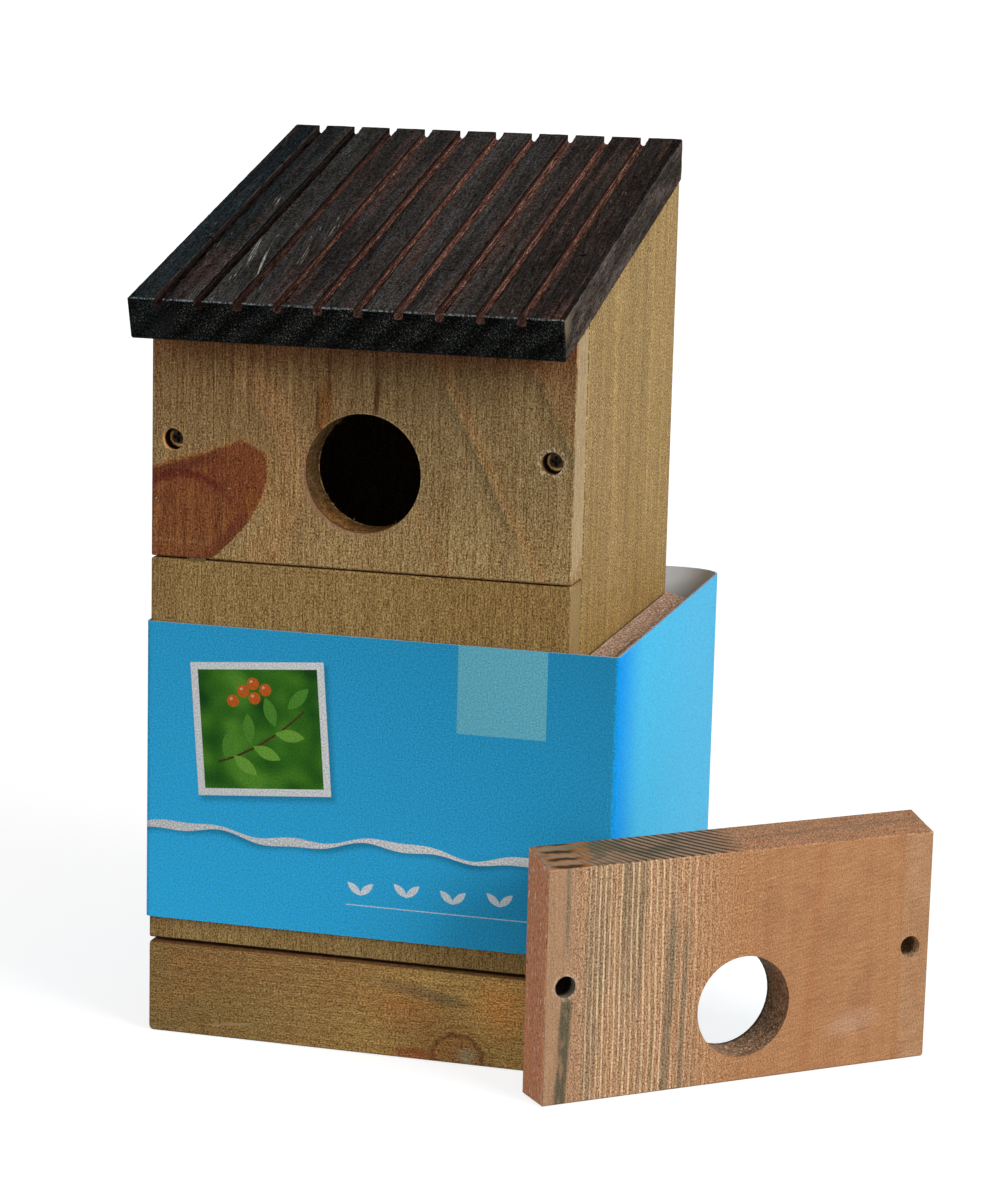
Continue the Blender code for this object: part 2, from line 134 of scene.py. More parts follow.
# Camera, as fitted to the box's edges in a picture 985 wide and 1181 high
FOCAL_PIXELS = 3305.3
PICTURE_HEIGHT = 1181
SENSOR_MM = 36.0
CAMERA_AT = Vector((0.25715, -0.88657, 0.29399))
CAMERA_YAW = -0.260
CAMERA_PITCH = 0.188
CAMERA_ROLL = 0.025


class Value:
    """A number, colour or place that varies over a surface. Arithmetic on values makes the nodes."""

    def __init__(self, graph, socket):
        self.graph = graph
        self.socket = socket

    def __add__(self, other):
        return self.graph.math("ADD", self, other)

    def __sub__(self, other):
        return self.graph.math("SUBTRACT", self, other)

    def __rsub__(self, other):
        return self.graph.math("SUBTRACT", other, self)

    def __mul__(self, other):
        return self.graph.math("MULTIPLY", self, other)

    def __truediv__(self, number):
        return self * (1 / number)

    def __abs__(self):
        return self.graph.math("ABSOLUTE", self)

    __radd__ = __add__
    __rmul__ = __mul__


def rise(value, start, end):
    """0 before start and 1 after end, smooth between. With start above end it falls."""
    return value.graph.node("ShaderNodeMapRange", {"Value": value, "From Min": start, "From Max": end},
                            interpolation_type="SMOOTHSTEP")


def band(value, low, high, soft):
    """1 between low and high."""
    return rise(value, low - soft, low + soft) * rise(value, high + soft, high - soft)


def hump(value, start, full, ending, end):
    """Rises from start to full, and falls from ending to end."""
    return rise(value, start, full) * rise(value, end, ending)


def most(first, *others):
    for other in others:
        first = first.graph.math("MAXIMUM", first, other)
    return first


def fract(value):
    return value.graph.math("FRACT", value)


def sine(value):
    return value.graph.math("SINE", value)


def distance(x, y):
    return x.graph.math("SQRT", x * x + y * y)


def turned(u, v, centre, turn):
    """Coordinates from a centre, along axes turned by an angle."""
    du, dv = u - centre[0], v - centre[1]
    cos, sin = math.cos(turn), math.sin(turn)
    return du * cos + dv * sin, dv * cos - du * sin


def blob(u, v, centre, radii, turn, soft):
    """An ellipse with a soft edge, in the plane of two coordinates."""
    along, across = turned(u, v, centre, turn)
    return rise(distance(along / radii[0], across / radii[1]), 1 + soft, 1 - soft)


class Graph:
    """The nodes of one material or world."""

    def __init__(self, tree):
        self.tree = tree

    def put(self, socket, value):
        if isinstance(value, Value):
            self.tree.links.new(value.socket, socket)
        elif isinstance(value, tuple) and socket.type == "RGBA":
            socket.default_value = (*value, 1.0)
        else:
            socket.default_value = value

    def node(self, kind, inputs, output=0, **settings):
        made = self.tree.nodes.new(kind)
        for key, value in settings.items():
            setattr(made, key, value)
        for key, value in inputs.items():
            self.put(made.inputs[key], value)
        return Value(self, made.outputs[output])

    def math(self, operation, *values):
        return self.node("ShaderNodeMath", dict(enumerate(values)), operation=operation)

    def vector(self, x, y, z):
        return self.node("ShaderNodeCombineXYZ", {0: x, 1: y, 2: z})

    def stretched(self, vector, scales):
        return self.node("ShaderNodeVectorMath", {0: vector, 1: scales}, operation="MULTIPLY")

    def noise(self, place, detail=2.0, roughness=0.5):
        """Noise at a place, which is a vector or three values."""
        if isinstance(place, tuple):
            place = self.vector(*place)
        return self.node("ShaderNodeTexNoise",
                         {"Vector": place, "Scale": 1.0, "Detail": detail, "Roughness": roughness})

    def mix(self, share, a, b):
        return self.node("ShaderNodeMix", {0: share, 6: a, 7: b}, 2, data_type="RGBA")

    def brighter(self, colour, factor):
        return self.node("ShaderNodeVectorMath", {0: colour, 3: factor}, operation="SCALE")

    def ramp(self, value, stops):
        made = self.tree.nodes.new("ShaderNodeValToRGB")
        self.put(made.inputs[0], value)
        elements = made.color_ramp.elements
        while len(elements) < len(stops):
            elements.new(1.0)
        for element, (place, colour) in zip(elements, stops):
            element.position = place
            element.color = (*colour, 1.0)
        return Value(self, made.outputs[0])

    def own_place(self, origin=ORIGIN, rotation=Matrix.Identity(3)):
        """A piece's own coordinates in millimetres, as three values."""
        back = rotation.transposed()
        spot = self.node("ShaderNodeTexCoord", {}, "Object")
        moved = self.node("ShaderNodeMapping",
                          {"Vector": spot, "Location": tuple(-(back @ Vector(origin)) / MM),
                           "Rotation": tuple(back.to_euler()), "Scale": (1 / MM, 1 / MM, 1 / MM)})
        parts = self.tree.nodes.new("ShaderNodeSeparateXYZ")
        self.put(parts.inputs[0], moved)
        return tuple(Value(self, part) for part in parts.outputs)

    def direct_ray(self):
        """1 where the camera looks, straight or by way of a reflection or glass."""
        rays = self.tree.nodes.new("ShaderNodeLightPath")
        return most(*[Value(self, rays.outputs[f"Is {kind} Ray"])
                      for kind in ("Camera", "Glossy", "Transmission")])


class Finish(Graph):
    """One material, and the colour painted so far."""

    def __init__(self, name, roughness=0.7, metallic=0.0, specular=0.5):
        self.material = bpy.data.materials.new(name)
        self.material.use_nodes = True
        super().__init__(self.material.node_tree)
        self.shader = self.tree.nodes["Principled BSDF"]
        self.shader.inputs["Roughness"].default_value = roughness
        self.shader.inputs["Metallic"].default_value = metallic
        self.shader.inputs["Specular IOR Level"].default_value = specular

    def paint(self, share, tone):
        """Covers a share of the colour so far with a tone."""
        self.colour = self.mix(share, self.colour, tone)

    def brighten(self, factor):
        self.colour = self.brighter(self.colour, factor)

    def finish(self, height=None, relief_mm=0.15, roughness=None):
        """The material, with its painted colour and a relief by height."""
        self.put(self.shader.inputs["Base Color"], self.colour)
        if roughness is not None:
            self.put(self.shader.inputs["Roughness"], roughness)
        if height is not None:
            relief = {"Height": height, "Distance": relief_mm * MM, "Strength": 1.0}
            self.put(self.shader.inputs["Normal"], self.node("ShaderNodeBump", relief))
        return self.material


class Wood(Finish):
    """Sawn softwood. u runs along the board's front, w into it and v up, in millimetres."""

    def __init__(self, name, origin, rotation=Matrix.Identity(3), grain="v", pith=(60.0, -40.0),
                 pitch=1.6, wander=2.5, roughness=0.72, specular=0.14):
        super().__init__(name, roughness, specular=specular)
        self.u, self.w, self.v = self.own_place(origin, rotation)
        across, depth, along = {"v": (self.u, self.w, self.v), "u": (self.v, self.w, self.u),
                                "w": (self.u, self.v, self.w)}[grain]
        self.spot = self.vector(across, depth, along)
        self.sway = self.wobble((0.05, 0.05, 0.016), 1.0)
        self.from_pith = distance(across - pith[0], depth - pith[1]) + self.sway * wander
        turn = fract(self.from_pith / pitch)
        self.late = hump(turn, 0.25, 0.8, 0.88, 1.0)
        self.streak = self.grained((1.1, 1.1, 0.03), 3.0, 0.7)
        self.fibre = self.grained((2.6, 2.6, 0.28), 2.0, 0.6)
        self.fleck = self.grained((2.3, 2.3, 1.7), 2.0, 0.7)
        self.tint = self.grained((0.035, 0.035, 0.02))

    def grained(self, scales, detail=2.0, roughness=0.5):
        """Noise with a scale for each axis of the grain, of which the third runs along it."""
        return self.noise(self.stretched(self.spot, scales), detail, roughness)

    def patches(self, scales, start, end, detail=2.0, roughness=0.5):
        """1 where the grained noise passes from start to end."""
        return rise(self.grained(scales, detail, roughness), start, end)

    def wobble(self, scales, size, detail=2.0):
        """Grained noise about zero, in millimetres."""
        return (self.grained(scales, detail) - 0.5) * size

    def shaded(self, colour, streak=1.2, fibre=2.0, fleck=4.4):
        """The colour with fibres along the grain: the darker ones redder, the lighter ones yellower."""
        change = (self.streak - 0.5) * streak + (self.fibre - 0.5) * fibre + (self.fleck - 0.5) * fleck
        change = most(change, -0.75)
        return self.stretched(colour, self.vector(1.0 + change * 0.82, 1.0 + change, 1.0 + change * 1.2))

    def shade(self, *strengths):
        """Gives the colour so far its fibres."""
        self.colour = self.shaded(self.colour, *strengths)

    def from_hole(self, centre):
        return distance(self.u - centre[0], self.v - centre[1])

    def bore(self, centre, radius):
        """1 on the wall of a round hole through the board's front."""
        near_wall = rise(self.from_hole(centre), radius + BORE_SLACK_MM, radius + BORE_SLACK_MM / 2)
        return near_wall * rise(self.w, 0.05, 0.2)

    def chip_rim(self, centre, radius, tone, width):
        """Torn fibres in patches round a hole's front edge."""
        torn = self.patches((1.6, 1.6, 0.9), 0.5, 0.6)
        ring = rise(self.from_hole(centre), radius + width, radius + width * 0.5)
        self.paint(ring * torn * rise(self.w, 0.3, 0.1), tone)

    def relief(self, late=0.3, streak=0.6):
        return self.late * late + self.streak * streak + self.fibre * 0.8 + self.fleck * 0.6

    def specks(self, scales, threshold, soft=0.03):
        """Few small marks, where a noise passes a threshold."""
        return self.patches(scales, threshold, threshold + soft, 1.0)

    def paint_specks(self, scales, threshold, share, tone, soft=0.03):
        self.paint(self.specks(scales, threshold, soft) * share, tone)

    def paint_blob(self, centre, radii, turn, soft, share, tone):
        self.paint(blob(self.u, self.v, centre, radii, turn, soft) * share, tone)


def corner(node):
    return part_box(node)[0]


def tan_box_wood(name, origin, pith):
    """The left side, back and floor boards: yellow-tan with straight grain."""
    wood = Wood(name, origin, pith=pith, pitch=2.3)
    wood.colour = wood.mix(wood.tint, (0.35, 0.235, 0.1), (0.3, 0.19, 0.073))
    wood.paint(wood.late * 0.4, (0.24, 0.14, 0.05))
    wood.shade()
    wood.paint_specks((1.7, 1.7, 0.3), 0.66, 0.5, (0.13, 0.075, 0.03))
    return wood.finish(wood.relief(), 0.12)


def side_wood():
    """The right side panel is seen closest: olive cast at its foot, straight pale grain."""
    wood = Wood("side_panel_wood", (BOX_RIGHT, BOX_FRONT, 0), pith=(-90, 60), pitch=2.1)
    wood.colour = wood.mix(rise(wood.v, 60, 190), (0.32, 0.196, 0.057), (0.372, 0.246, 0.091))
    wood.paint(rise(wood.tint, 0.42, 0.68) * 0.5, (0.42, 0.278, 0.116))
    wood.paint(wood.late * 0.3, (0.27, 0.16, 0.06))
    bands = wood.grained((0.11, 0.11, 0.0025))
    wood.brighten(0.64 + bands * 0.72)
    fine_bands = wood.grained((0.7, 0.7, 0.006))
    wood.brighten(0.78 + fine_bands * 0.44)
    wood.shade(1.9, 3.2, 8.5)
    wood.paint_specks((1.4, 1.4, 0.28), 0.655, 0.55, (0.15, 0.085, 0.035))
    dashes = wood.noise((0, 0, wood.v * 0.35))
    joint = rise(wood.w, 13, 12.6) * rise(wood.v, 120, 132) * rise(dashes, 0.5, 0.56)
    wood.paint(joint * 0.7, (0.11, 0.06, 0.022))
    return wood.finish(wood.relief(), 0.12)


def plate_wood():
    """The screwed entrance plate: greenish tan, a red knot shadow low on the left, resin streaks, painted
    shade towards the roof and painted light at its foot.
    """
    low = corner("entrance_plate_32")
    wood = Wood("entrance_plate_wood", low, pith=(70, -120), pitch=3.1, wander=6)
    u, v = wood.u, wood.v
    # Darker at the top and lighter towards the foot: painted shade under the roof grading to painted light
    # lower down.
    wood.colour = wood.mix(rise(v, 62, 0), (0.268, 0.154, 0.061), (0.405, 0.262, 0.108))
    wood.paint_blob((92, 30), (32, 42), 0.5, 0.7, 0.55, (0.275, 0.195, 0.085))
    sapwood_lines(wood)
    wood.paint(wood.late * 0.25, (0.23, 0.13, 0.05))
    wood.paint(knot_halo(wood) * 0.55, (0.43, 0.225, 0.09))
    knot_shadow(wood)
    resin_streaks_and_roof_shade(wood)
    lines = wood.noise((u * 2.1, 0, v * 0.05), 1)
    upper = 0.35 + rise(v, 30, 58) * rise(u, 70, 30) * 0.9
    wood.brighten(1 + (lines - 0.5) * upper)
    # Lighter at the upper left, and lighter at the lower right foot as painted light.
    top_left = rise(u, 62, 30) * rise(v, 34, 50)
    foot = rise(u, 50, 85) * rise(v, 26, 6)
    wood.brighten(1 + top_left * 0.2 + foot * 0.12)
    wood.shade(1.8, 2.5, 5.4)
    wood.paint_specks((2.4, 2.4, 1.4), 0.69, 0.6, (0.08, 0.042, 0.018))
    wood.paint_specks((1.1, 1.1, 0.8), 0.735, 0.6, (0.62, 0.52, 0.36), 0.01)
    wood.paint_specks((0.9, 0.9, 0.75), 0.755, 0.85, (0.03, 0.015, 0.008), 0.02)
    right_end = rise(u, FRONT_WIDTH_MM - 0.3, FRONT_WIDTH_MM - 0.1) * rise(v - wood.w * 0.4, 0, 3)
    end_colour = wood.shaded((0.5, 0.36, 0.195), 0.8, 1.4, 2.2)
    wood.paint(right_end * 0.85, end_colour)
    plate_holes(wood)
    return wood.finish(wood.relief(), 0.14)


def sapwood_lines(wood):
    """Long slanting growth lines right of the entrance hole: olive at their left and warm at their right."""
    u, v = wood.u, wood.v
    slant = u + v * 0.51 + wood.sway * 2
    warm_ray = hump(slant, 107, 108.2, 108.5, 113.5)
    wood.paint(warm_ray * 0.6, (0.4, 0.215, 0.08))
    olive_line = hump(slant, 103.5, 106.6, 106.8, 107.6) * rise(v, 54, 44)
    wood.paint(olive_line * rise(v, 4, 20) * 0.6, (0.165, 0.115, 0.05))
    low_line = u + v * 0.6 + wood.sway * 2
    thin = hump(low_line, 82.4, 83.4, 83.6, 87) * rise(v, 30, 18)
    wood.paint(thin * 0.5, (0.4, 0.215, 0.085))
    corner_line = u + v * 0.52
    ruddy = rise(corner_line, 134, 136)
    wood.paint(ruddy * 0.65, (0.285, 0.15, 0.058))
    dark_edge = hump(corner_line, 130, 133.6, 134, 134.9)
    wood.paint(dark_edge * rise(v, 22, 34) * 0.55, (0.15, 0.105, 0.05))


def plate_holes(wood):
    """The entrance hole's wall and rim, and the two counterbores with their torn rims, with painted light,
    painted shade and painted glints.
    """
    v = wood.v
    grain = wood.shaded((0.15, 0.08, 0.03), 0.6, 1.6, 6)
    warm = wood.shaded((0.27, 0.125, 0.036), 0.6, 1.6, 6)
    # The lower wall is warmer and lighter: painted light from above.
    wall = wood.mix(rise(v, HOLE_PLACE[1] - 5, HOLE_PLACE[1] - 14), grain, warm)
    rough = wood.grained((0.8, 0.35, 0.8), 3, 0.75)
    wall = wood.brighter(wall, -0.55 + rough * 2.9)
    # Darker along the front edge: a painted shadow line.
    wall = wood.mix(rise(wood.w, 1.5, 0.6) * 0.75, wall, (0.085, 0.035, 0.014))
    # Painted glints in patches along the rear rim.
    ragged = (wood.fleck - 0.5) * 1.6
    torn = wood.patches((0.9, 0.9, 0.9), 0.46, 0.6, 2, 0.7)
    inner_rim_glint = rise(wood.w + ragged, 11, 11.5)
    wall = wood.mix(inner_rim_glint * torn, wall, (0.85, 0.6, 0.22))
    # The lip's torn fibres are darker on the lower left as painted shade, and pale on the upper right.
    diagonal = wood.u + v - sum(HOLE_PLACE)
    lip = wood.mix(rise(diagonal, -8, 8), (0.3, 0.15, 0.075), (0.52, 0.38, 0.2))
    wood.chip_rim(HOLE_PLACE, HOLE_RADIUS, lip, 0.55)
    rosy = blob(wood.u, v, HOLE_PLACE, (HOLE_RADIUS + 1.4, HOLE_RADIUS + 1.4), 0, 0.02)
    wood.paint(rosy * rise(diagonal, -6, -22) * 0.4, (0.42, 0.215, 0.135))
    wood.paint(wood.bore(HOLE_PLACE, HOLE_RADIUS), wall)
    # The counterbores: near black deeper in as painted shade, and the left one's front wall bright orange as
    # painted light.
    near = rise(wood.w + wood.fleck * 2, 3.4, 2.6)
    for place, tone in ((LEFT_BORE, (0.95, 0.52, 0.2)), (RIGHT_BORE, (0.22, 0.1, 0.03))):
        inside = wood.mix(near, (0.02, 0.01, 0.005), wood.shaded(tone, 0.3, 0.5, 3))
        wood.paint(wood.bore(place, BORE_RADIUS), inside)
    wood.chip_rim(LEFT_BORE, BORE_RADIUS, (0.42, 0.28, 0.13), 0.7)
    wood.chip_rim(RIGHT_BORE, BORE_RADIUS, (0.62, 0.5, 0.34), 1.5)


def knot_shadow(wood):
    """A reddish patch from the plate's lower left corner, with a crimson arc and an orange brow."""
    u, v = wood.u, wood.v
    wobble = wood.grained((0.22, 0.22, 0.16), 3) - 0.5
    right_side = 16.9 + v * 1.24 - v * v * 0.0243 + wobble * 1.2
    top_line = 24.6 + u * 0.32 - rise(u, 24, 38) * 8 + wobble * 2.2
    from_side, below_top = right_side - u, top_line - v
    inside = rise(from_side, -0.3, 0.5) * rise(below_top, -0.5, 0.9)
    near = rise(from_side, -4.5, 0) * rise(below_top, -2.5, 0.5) * rise(v, 10, 20)
    wood.paint(near * 0.45, (0.43, 0.19, 0.06))
    wood.paint(inside * 0.94, (0.205, 0.054, 0.018))
    mottle = wood.grained((0.3, 0.3, 0.1), 3, 0.65)
    wood.paint(inside * rise(mottle, 0.5, 0.66) * 0.6, (0.33, 0.125, 0.028))
    wood.paint(inside * rise(mottle, 0.44, 0.32) * 0.6, (0.135, 0.03, 0.014))
    warm_heart = inside * blob(u, v, (9, 9), (12, 13), 0, 0.6)
    wood.paint(warm_heart * 0.55, (0.255, 0.095, 0.03))
    shade = inside * hump(below_top, 0.5, 1.5, 3, 5) * rise(u, 24, 12)
    wood.paint(shade * 0.7, (0.125, 0.027, 0.013))
    brow = inside * rise(u, 20, 27) * rise(v, 12, 22)
    wood.paint(brow * 0.5, (0.245, 0.072, 0.02))
    reach = distance(u - 9.5, v - 7.2) + wobble * 2
    arc = inside * band(reach, 14.8, 16.9, 0.9) * rise(v, 11, 20) * rise(u, 24.5, 17)
    wood.paint(arc * 0.8, (0.125, 0.016, 0.011))
    low_arc = inside * rise(from_side, 6.5, 2) * rise(v, 17, 9)
    wood.paint(low_arc * 0.5, (0.15, 0.038, 0.016))
    line = inside * band(v + wobble * 2.4, 4.2, 5, 0.4) * rise(u, 20, 14)
    wood.paint(line * 0.4, (0.36, 0.19, 0.08))


def knot_halo(wood):
    """The warmer ring of grain that runs round the reddish patch and under the entrance hole."""
    u, v = wood.u, wood.v
    outer = blob(u, v, (10, 24), (34, 36), 0, 0.08)
    inner = blob(u, v, (8, 25), (28, 28), 0, 0.05)
    return outer * (1 - inner) * rise(u, 20, 32)


# The wide streak, its dark left edge, the line above it, the short streak at its right and its trail:
# centre, radii, turn, softness, share and tone
RESIN_STREAKS = (((48.4, 41.5), (2.1, 9), -0.1, 0.4, 0.75, (0.235, 0.09, 0.02)),
                 ((46.7, 42.5), (0.6, 7), 0, 0.5, 0.8, (0.105, 0.045, 0.016)),
                 ((49.9, 54), (0.5, 9), -0.03, 0.6, 0.65, (0.1, 0.042, 0.016)),
                 ((63.1, 47), (0.75, 6), -0.06, 0.5, 0.95, (0.095, 0.034, 0.01)),
                 ((62.9, 56), (0.4, 9), 0, 0.6, 0.5, (0.11, 0.045, 0.016)))


def resin_streaks_and_roof_shade(wood):
    """Darker orange streaks that run down from the roof to the entrance hole, and a painted shade band under
    the roof.
    """
    for streak in RESIN_STREAKS:
        wood.paint_blob(*streak)
    top = wood.patches((0.5, 0.5, 0.025), 0.45, 0.62) * rise(wood.v, 38, 60)
    wood.paint(top * 0.5, (0.17, 0.07, 0.024))
    # Painted shade: a dark red band along the top, under the roof.
    wood.paint(rise(wood.v, 50, 64) * 0.7, (0.185, 0.043, 0.014))


def middle_wood():
    low = corner("middle_front_panel")
    wood = Wood("middle_panel_wood", low, pith=(40, -90), pitch=2.6)
    wood.colour = wood.mix(wood.tint, (0.385, 0.25, 0.095), (0.33, 0.205, 0.07))
    wood.paint(rise(wood.u, 55, 95) * 0.7, (0.305, 0.182, 0.057))
    wood.paint(rise(wood.u, 9, 3) * 0.6, (0.26, 0.15, 0.055))
    wood.paint(wood.late * 0.3, (0.26, 0.15, 0.05))
    wood.shade(1.3, 2.2, 5)
    wood.paint_specks((2, 2, 0.6), 0.655, 0.55, (0.11, 0.06, 0.022))
    right_end = rise(wood.u, FRONT_WIDTH_MM - 0.3, FRONT_WIDTH_MM - 0.1)
    wood.paint(right_end * 0.6, wood.shaded((0.37, 0.26, 0.115), 0.3, 0.3, 1.2))
    # Painted shade: near black along the foot, in the gap above the rail.
    gap_shade = rise(wood.v, 0.45, 0.2)
    wood.paint(gap_shade * 0.9, (0.02, 0.009, 0.005))
    return wood.finish(wood.relief(), 0.13)


def rail_wood():
    """The bottom rail: olive with short dashes along its grain, and a knot low in its right half. Its right
    part is painted lighter as painted light.
    """
    low = corner("base_rail")
    wood = Wood("rail_wood", low, grain="u", pith=(-60, 46), pitch=2.3, wander=5)
    u, v = wood.u, wood.v
    # Lighter towards the right: painted light that makes up for the standing plate's shadow.
    wood.colour = wood.mix(rise(u, 5, 100), (0.285, 0.176, 0.06), (0.66, 0.4, 0.122))
    wood.paint(wood.late * 0.22, (0.21, 0.125, 0.04))
    patches = wood.patches((0.16, 0.16, 0.05), 0.46, 0.66)
    wood.paint(patches * 0.35, (0.4, 0.2, 0.062))
    ruddy = rise(v, 8, 20) * hump(u, 0, 10, 55, 80)
    wood.paint(ruddy * 0.35, (0.36, 0.17, 0.058))
    rail_knot(wood)
    wood.shade(0.6, 1.9, 5)
    pale = wood.specks((1.7, 1.7, 0.28), 0.66)
    wood.paint(pale * rise(v, 18, 8) * 0.45, (0.46, 0.36, 0.16))
    wood.paint_blob((25.5, 4.2), (6, 0.35), 0.12, 0.5, 0.55, (0.5, 0.38, 0.2))
    wood.paint_specks((2.2, 2.2, 0.35), 0.66, 0.55, (0.11, 0.055, 0.02))
    # Painted shade: dark red along the top, in the gap under the middle panel.
    gap_shade = rise(v, 25.2, 25.6)
    wood.paint(gap_shade * 0.8, (0.1, 0.032, 0.012))
    return wood.finish(wood.relief(late=0.4), 0.14)


# About the rail's knot: a smear above it, warm and brown wood left of it, orange wood at its right
RAIL_STAINS = (((79.5, 18.6), (12, 1.8), -0.16, 0.7, 0.8, (0.235, 0.17, 0.082)),
               ((74, 14), (9, 4.5), -0.1, 0.9, 0.75, (0.56, 0.25, 0.075)),
               ((80, 6), (13, 8), -0.5, 0.9, 0.45, (0.36, 0.165, 0.052)),
               ((101, 17), (7.5, 7), 0, 0.7, 0.6, (0.88, 0.385, 0.1)))
# The knot's grey heart, and a rusty streak beside it
KNOT_STAINS = (((91.8, 2.4), (2.6, 2.2), 0, 0.5, 0.7, (0.5, 0.39, 0.21)),
               ((77, 1.6), (5, 1.4), 0, 0.7, 0.8, (0.42, 0.105, 0.042)))


def rail_knot(wood):
    """The knot's dark ring and grey heart, rings about it, a smear above and a rusty streak beside."""
    for stain in RAIL_STAINS:
        wood.paint_blob(*stain)
    uneven = wood.wobble((0.4, 0.4, 0.3), 2.2)
    reach = distance((wood.u - 89) * 0.88, wood.v - 1.8) + uneven
    rings = fract(reach * 0.42)
    about = rise(reach, 15, 7) * band(rings, 0.35, 0.75, 0.2)
    wood.paint(about * 0.4, (0.27, 0.125, 0.04))
    wood.paint(rise(reach, 7, 5.6) * 0.7, (0.46, 0.215, 0.068))
    wood.paint(band(reach, 5.7, 6.9, 0.8) * 0.75, (0.185, 0.075, 0.024))
    for stain in KNOT_STAINS:
        wood.paint_blob(*stain)


def turned_plate_place():
    """The standing plate's lower left front corner, and its turn about Z."""
    low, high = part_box("spare_plate_28")
    plate_low, plate_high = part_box("entrance_plate_32")
    length, thick = plate_high.x - plate_low.x, plate_high.y - plate_low.y
    rotation = Matrix.Rotation(PLATE_TURN, 3, "Z")
    centre = Vector(((low.x + high.x) / 2, (low.y + high.y) / 2, low.z))
    return centre - rotation @ Vector((length / 2, thick / 2, 0)), rotation


def standing_plate_wood():
    """The standing plate: pale raised latewood on its left half, smooth orange wood on its right."""
    origin, rotation = turned_plate_place()
    wood = Wood("standing_plate_wood", origin, rotation, pith=(86, 66), pitch=1.14, wander=1.6,
                roughness=0.7)
    u, v = wood.u, wood.v
    top = rise(v - wood.w * PLATE_TOP_RISE, PLATE_HEIGHT_MM - 0.3, PLATE_HEIGHT_MM - 0.05)
    smooth_part = rise(u, 46, 60)
    wood.colour = wood.mix(rise(u, 28, 60), (0.53, 0.295, 0.16), (0.52, 0.256, 0.115))
    ridge = standing_ridges(wood, top)
    plate_stains(wood)
    brush = standing_smooth_wood(wood, smooth_part)
    standing_top_grain(wood, top)
    standing_left_end(wood)
    speckle = (1.9 + hump(u, 4, 12, 35, 75) * 3.2) * (1 - ridge * 0.5)
    speckle = speckle * (1 - top * rise(u, 62, 50) * 0.85) + top * rise(u, 50, 62) * 2.5
    ridged_part = 1 - smooth_part
    wood.shade(0.12 + ridged_part * 0.4, speckle * ridged_part * 0.4, speckle)
    standing_plate_holes(wood)
    height = ridge * 1.6 + wood.streak * 0.4 + wood.fleck * 0.3 + wood.fibre * 0.5
    return wood.finish(height + brush * smooth_part * 0.3, 0.2)


def standing_ridges(wood, top):
    """The left half's pale ridges of latewood, with grey and olive streaks. Gives the ridges."""
    u, v = wood.u, wood.v
    front = 1 - top
    ridged = hump(u, 9.5, 12.5, 30, 60)
    grey = wood.patches((0.13, 0.13, 0.012), 0.47, 0.66)
    wood.paint(grey * ridged * 0.5, (0.235, 0.19, 0.115))
    wood.paint(rise(u, 12, 8) * 0.6, (0.46, 0.285, 0.165))
    broken = wood.patches((0.5, 0.5, 0.06), 0.3, 0.55)
    uneven = 0.45 + rise(wood.noise((u * 0.42, 3, v * 0.012), 1), 0.36, 0.56) * 0.55
    ridge = rise(wood.late, 0.35, 0.95) * ridged * front * uneven * (0.35 + broken * 0.65)
    olive = rise(wood.noise((u * 0.55, 8, v * 0.016)), 0.52, 0.66)
    wood.paint(olive * ridged * 0.55, (0.225, 0.18, 0.11))
    wood.paint(ridge * 0.85, (0.92, 0.66, 0.385))
    beside = hump(wood.late, 0.02, 0.2, 0.3, 0.5) * ridged * front
    wood.paint(beside * 0.45, (0.23, 0.135, 0.075))
    faint = wood.late * (1 - ridged) * front
    wood.paint(faint * 0.16, (0.36, 0.155, 0.07))
    return ridge


def standing_smooth_wood(wood, smooth_part):
    """The right half's red band, paler end and hazy saw marks. Gives the saw marks."""
    u, v = wood.u, wood.v
    wood.paint(band(u - v * 0.06, 77, 80, 2.2) * 0.4, (0.42, 0.155, 0.06))
    wood.paint(rise(u, 107.5, 109.5) * 0.5, (0.52, 0.31, 0.17))
    wood.paint_blob((93.5, 12.5), (7, 3), 0.2, 0.7, 0.5, (0.62, 0.38, 0.26))
    haze = rise(wood.noise((u * 0.1, v * 0.06, 9), 3, 0.6), 0.46, 0.66)
    wood.paint(haze * smooth_part * 0.5, (0.4, 0.185, 0.085))
    brush = wood.noise((u * 0.13, (v - u * 0.16) * 1.9, wood.w * 0.3), 3, 0.7)
    wood.brighten(1 + (brush - 0.5) * smooth_part * 0.95)
    return brush


def standing_left_end(wood):
    """The pinkish end of the plate, lightened as painted light, with pale torn fibres along it."""
    left_end = rise(wood.u, 0.35, 0.05)
    # Pinkish, and lighter than the wood itself: painted light on an end that the lamps leave dim.
    wood.paint(left_end * 0.95, (0.74, 0.3, 0.15))
    dashes = wood.specks((1.6, 1.6, 0.3), 0.66) * left_end
    wood.paint(dashes * 0.9, (0.95, 0.78, 0.62))
    dark = wood.patches((1.8, 1.8, 0.7), 0.46, 0.36) * left_end
    wood.paint(dark * 0.7, (0.33, 0.12, 0.05))


